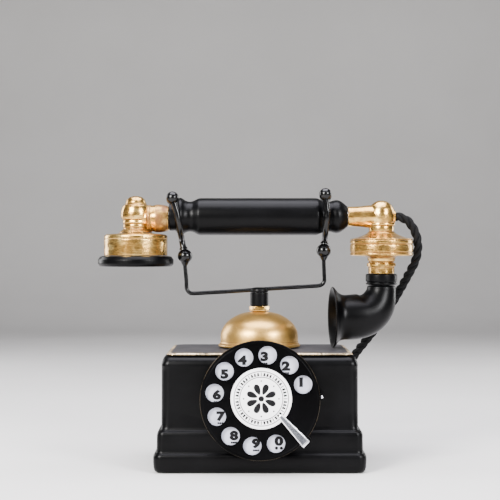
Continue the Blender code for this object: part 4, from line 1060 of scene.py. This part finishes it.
def make_label():
    face = WHEEL_FRONT - 1.05
    place = (LABEL_X, 0, LABEL_Z)
    back = WHEEL_FRONT - 0.3
    profile = [
        (0.02, back), (LABEL_RADIUS - 0.1, back), (LABEL_RADIUS, back - 0.5), (LABEL_RADIUS - 0.3, face),
        (0.02, face)]
    turned("dial_card", profile, "card", "finger_wheel", ["label_card"], place, "Y", radius=0.15,
           segments=FINE_SEGMENTS)
    for name, radius in (("outer_line", 19.1), ("inner_line", 15.1)):
        turned(f"card_{name}", [(radius - 0.27, face + 0.05), (radius + 0.27, face + 0.05),
                                (radius + 0.27, face - 0.03), (radius - 0.27, face - 0.03)], "grey",
               "finger_wheel", (), place, "Y", True, 0.01, FINE_SEGMENTS)
    marks = []
    for i in range(48):
        wide, low, high = (0.85, 15.9, 18.2) if i % 4 else (0.35, 15.8, 18.4)
        along, across = spoke(i / 48)
        corners = (along * low - across * wide, along * low + across * wide,
                   along * high + across * wide * 0.6, along * high - across * wide * 0.6)
        marks.append([tuple(c) for c in corners])
    flat_piece("card_ticks", marks, "grey", "finger_wheel", face + 0.05, face - 0.03)
    make_rosette(face)


def make_rosette(face):
    """A plain eight-petalled rosette inside a fine ring."""
    petals = []
    for i in range(8):
        along, across = spoke((i + 0.5) / 8)
        outline = []
        for k in range(24):
            t = math.tau * k / 24
            reach = 6.9 + 3.9 * math.cos(t)
            width = 2.05 * math.sin(t) * (1.0 + 0.35 * math.cos(t))
            outline.append(tuple(along * reach + across * width))
        petals.append(outline)
    flat_piece("rosette_petals", petals, "digit", "finger_wheel", face + 0.05, face - 0.04)
    dots = [circle(0.55, 16, (12.4 * math.cos(math.tau * i / 8), 12.4 * math.sin(math.tau * i / 8)))
            for i in range(8)]
    flat_piece("rosette_dots", dots + [circle(2.0, 40)], "digit", "finger_wheel", face + 0.05, face - 0.04)


STOP_FRONT, STOP_LENGTH = WHEEL_FRONT - 2.7, 26.0
STOP_OUTLINE = (
    (0, -1.7), (-0.6, -1.2), (-0.9, -0.4), (-0.9, 0.4), (-0.6, 1.2), (0, 1.7), (STOP_LENGTH, 3.2),
    (STOP_LENGTH, -3.2))
# inset, depth and polish of the blade's rows, from its back to its face
STOP_ROWS = ((0, 1.2, 1), (0, 0.55, 1), (0.75, 0, 1), (0.85, 0, 0))


def make_stop():
    """A tapering blade with polished, chamfered edges, bent down at its end over the wheel's rim."""
    blade = Matrix.Translation((14.4, 0, DIAL_Z - 10.7)) @ Matrix.Rotation(math.radians(47.65), 4, "Y")
    bm = bmesh.new()
    rings, polish = [], []
    for inset, depth, value in STOP_ROWS:
        rings.append([blade @ Vector((max(inset - 0.9, min(along, STOP_LENGTH - inset)), STOP_FRONT + depth,
                                      math.copysign(max(abs(across) - inset, 0.1), across)))
                      for along, across in STOP_OUTLINE])
        polish += [value] * len(STOP_OUTLINE)
    add_loft(bm, rings)
    stop = finish_mesh("stop_blade", bm, "stop", "base", ["finger_stop"])
    layer = stop.data.attributes.new("polish", "FLOAT", "POINT")
    for item, value in zip(layer.data, polish):
        item.value = value
    bm = bmesh.new()
    box_mesh(bm, (43.0, STOP_FRONT + 0.2, -3.0), (44.6, -57.5, 3.0))
    turn = Matrix.Translation((0, 0, DIAL_Z)) @ Matrix.Rotation(math.radians(-STOP_ANGLE), 4, "Y")
    bmesh.ops.transform(bm, matrix=turn, verts=bm.verts)
    combine(stop, bm, "UNION")
    stop.data.set_sharp_from_angle(angle=SMOOTH_ANGLE)


# ---- inner pieces

def finish_nodes():
    """Every CAD piece that still shows gets the material of its slot."""
    slots = {row["node"]: row["material_slot"] for row in frame["record"]["subparts"]}
    for name, node in frame["nodes"].items():
        material = MAT[NODE_MATERIAL.get(slots[name], slots[name])]
        node.data.materials.clear()
        node.data.materials.append(material)


# ---- studio

def make_floor():
    """A pale floor that curves up into a backdrop well behind the set."""
    bm = bmesh.new()
    outline = [(-8, 0.0), (1.5, 0.0)]
    for i in range(1, 17):
        angle = math.radians(90 * i / 16)
        outline.append((1.5 + 0.7 * math.sin(angle), 0.7 - 0.7 * math.cos(angle)))
    outline.append((2.2, 3.2))
    rows = [[bm.verts.new((x, y, z)) for x in (-6.0, 6.0)] for y, z in outline]
    for low, high in zip(rows, rows[1:]):
        bm.faces.new((low[0], low[1], high[1], high[0]))
    mesh = mesh_from("studio_floor", bm)
    mesh.shade_smooth()
    s = Shader("pale_floor", Roughness=0.65)
    mesh.materials.append(s.wire(Base_Color=s.ramp(s.noise(3.0), ((0.3, (0.60, 0.59, 0.575)),
                                                                 (0.7, (0.64, 0.63, 0.615))))))
    add_object("studio_floor", mesh)


def area_light(name, place, target, size, power, colour=(1, 1, 1)):
    data = bpy.data.lights.new(name, "AREA")
    data.shape = "RECTANGLE"
    data.size, data.size_y = size
    data.energy = power
    data.color = colour
    light = add_object(name, data)
    light.location = place
    light.rotation_euler = (Vector(target) - Vector(place)).to_track_quat("-Z", "Y").to_euler()


def make_lights():
    area_light("key_left", (-0.62, -0.85, 0.62), (0, 0, 0.10), (0.42, 0.46), 42.0, (1.0, 0.985, 0.96))
    area_light("fill_right", (0.70, -0.75, 0.50), (0, 0, 0.10), (0.32, 0.42), 22.0, (0.98, 0.98, 1.0))
    area_light("top", (0.0, -0.05, 0.95), (0, 0, 0.1), (0.9, 0.75), 30.0, (0.92, 0.91, 1.0))
    area_light("rim_left", (-0.85, 0.60, 0.35), (0, 0, 0.13), (0.35, 0.6), 7.0)
    area_light("rim_right", (0.85, 0.60, 0.35), (0, 0, 0.13), (0.35, 0.6), 7.0)
    world = bpy.data.worlds.new("studio_air")
    world.use_nodes = True
    world.node_tree.nodes["Background"].inputs["Color"].default_value = (0.80, 0.80, 0.84, 1)
    world.node_tree.nodes["Background"].inputs["Strength"].default_value = 0.05
    bpy.context.scene.world = world


finish_nodes()
make_casing()
make_base_trim()
make_bell()
make_cradle()
make_grip()
make_receiver()
make_transmitter()
make_horn()
make_dial_body()
make_digits()
make_dots()
make_wheel()
make_label()
make_stop()
make_floor()
make_lights()
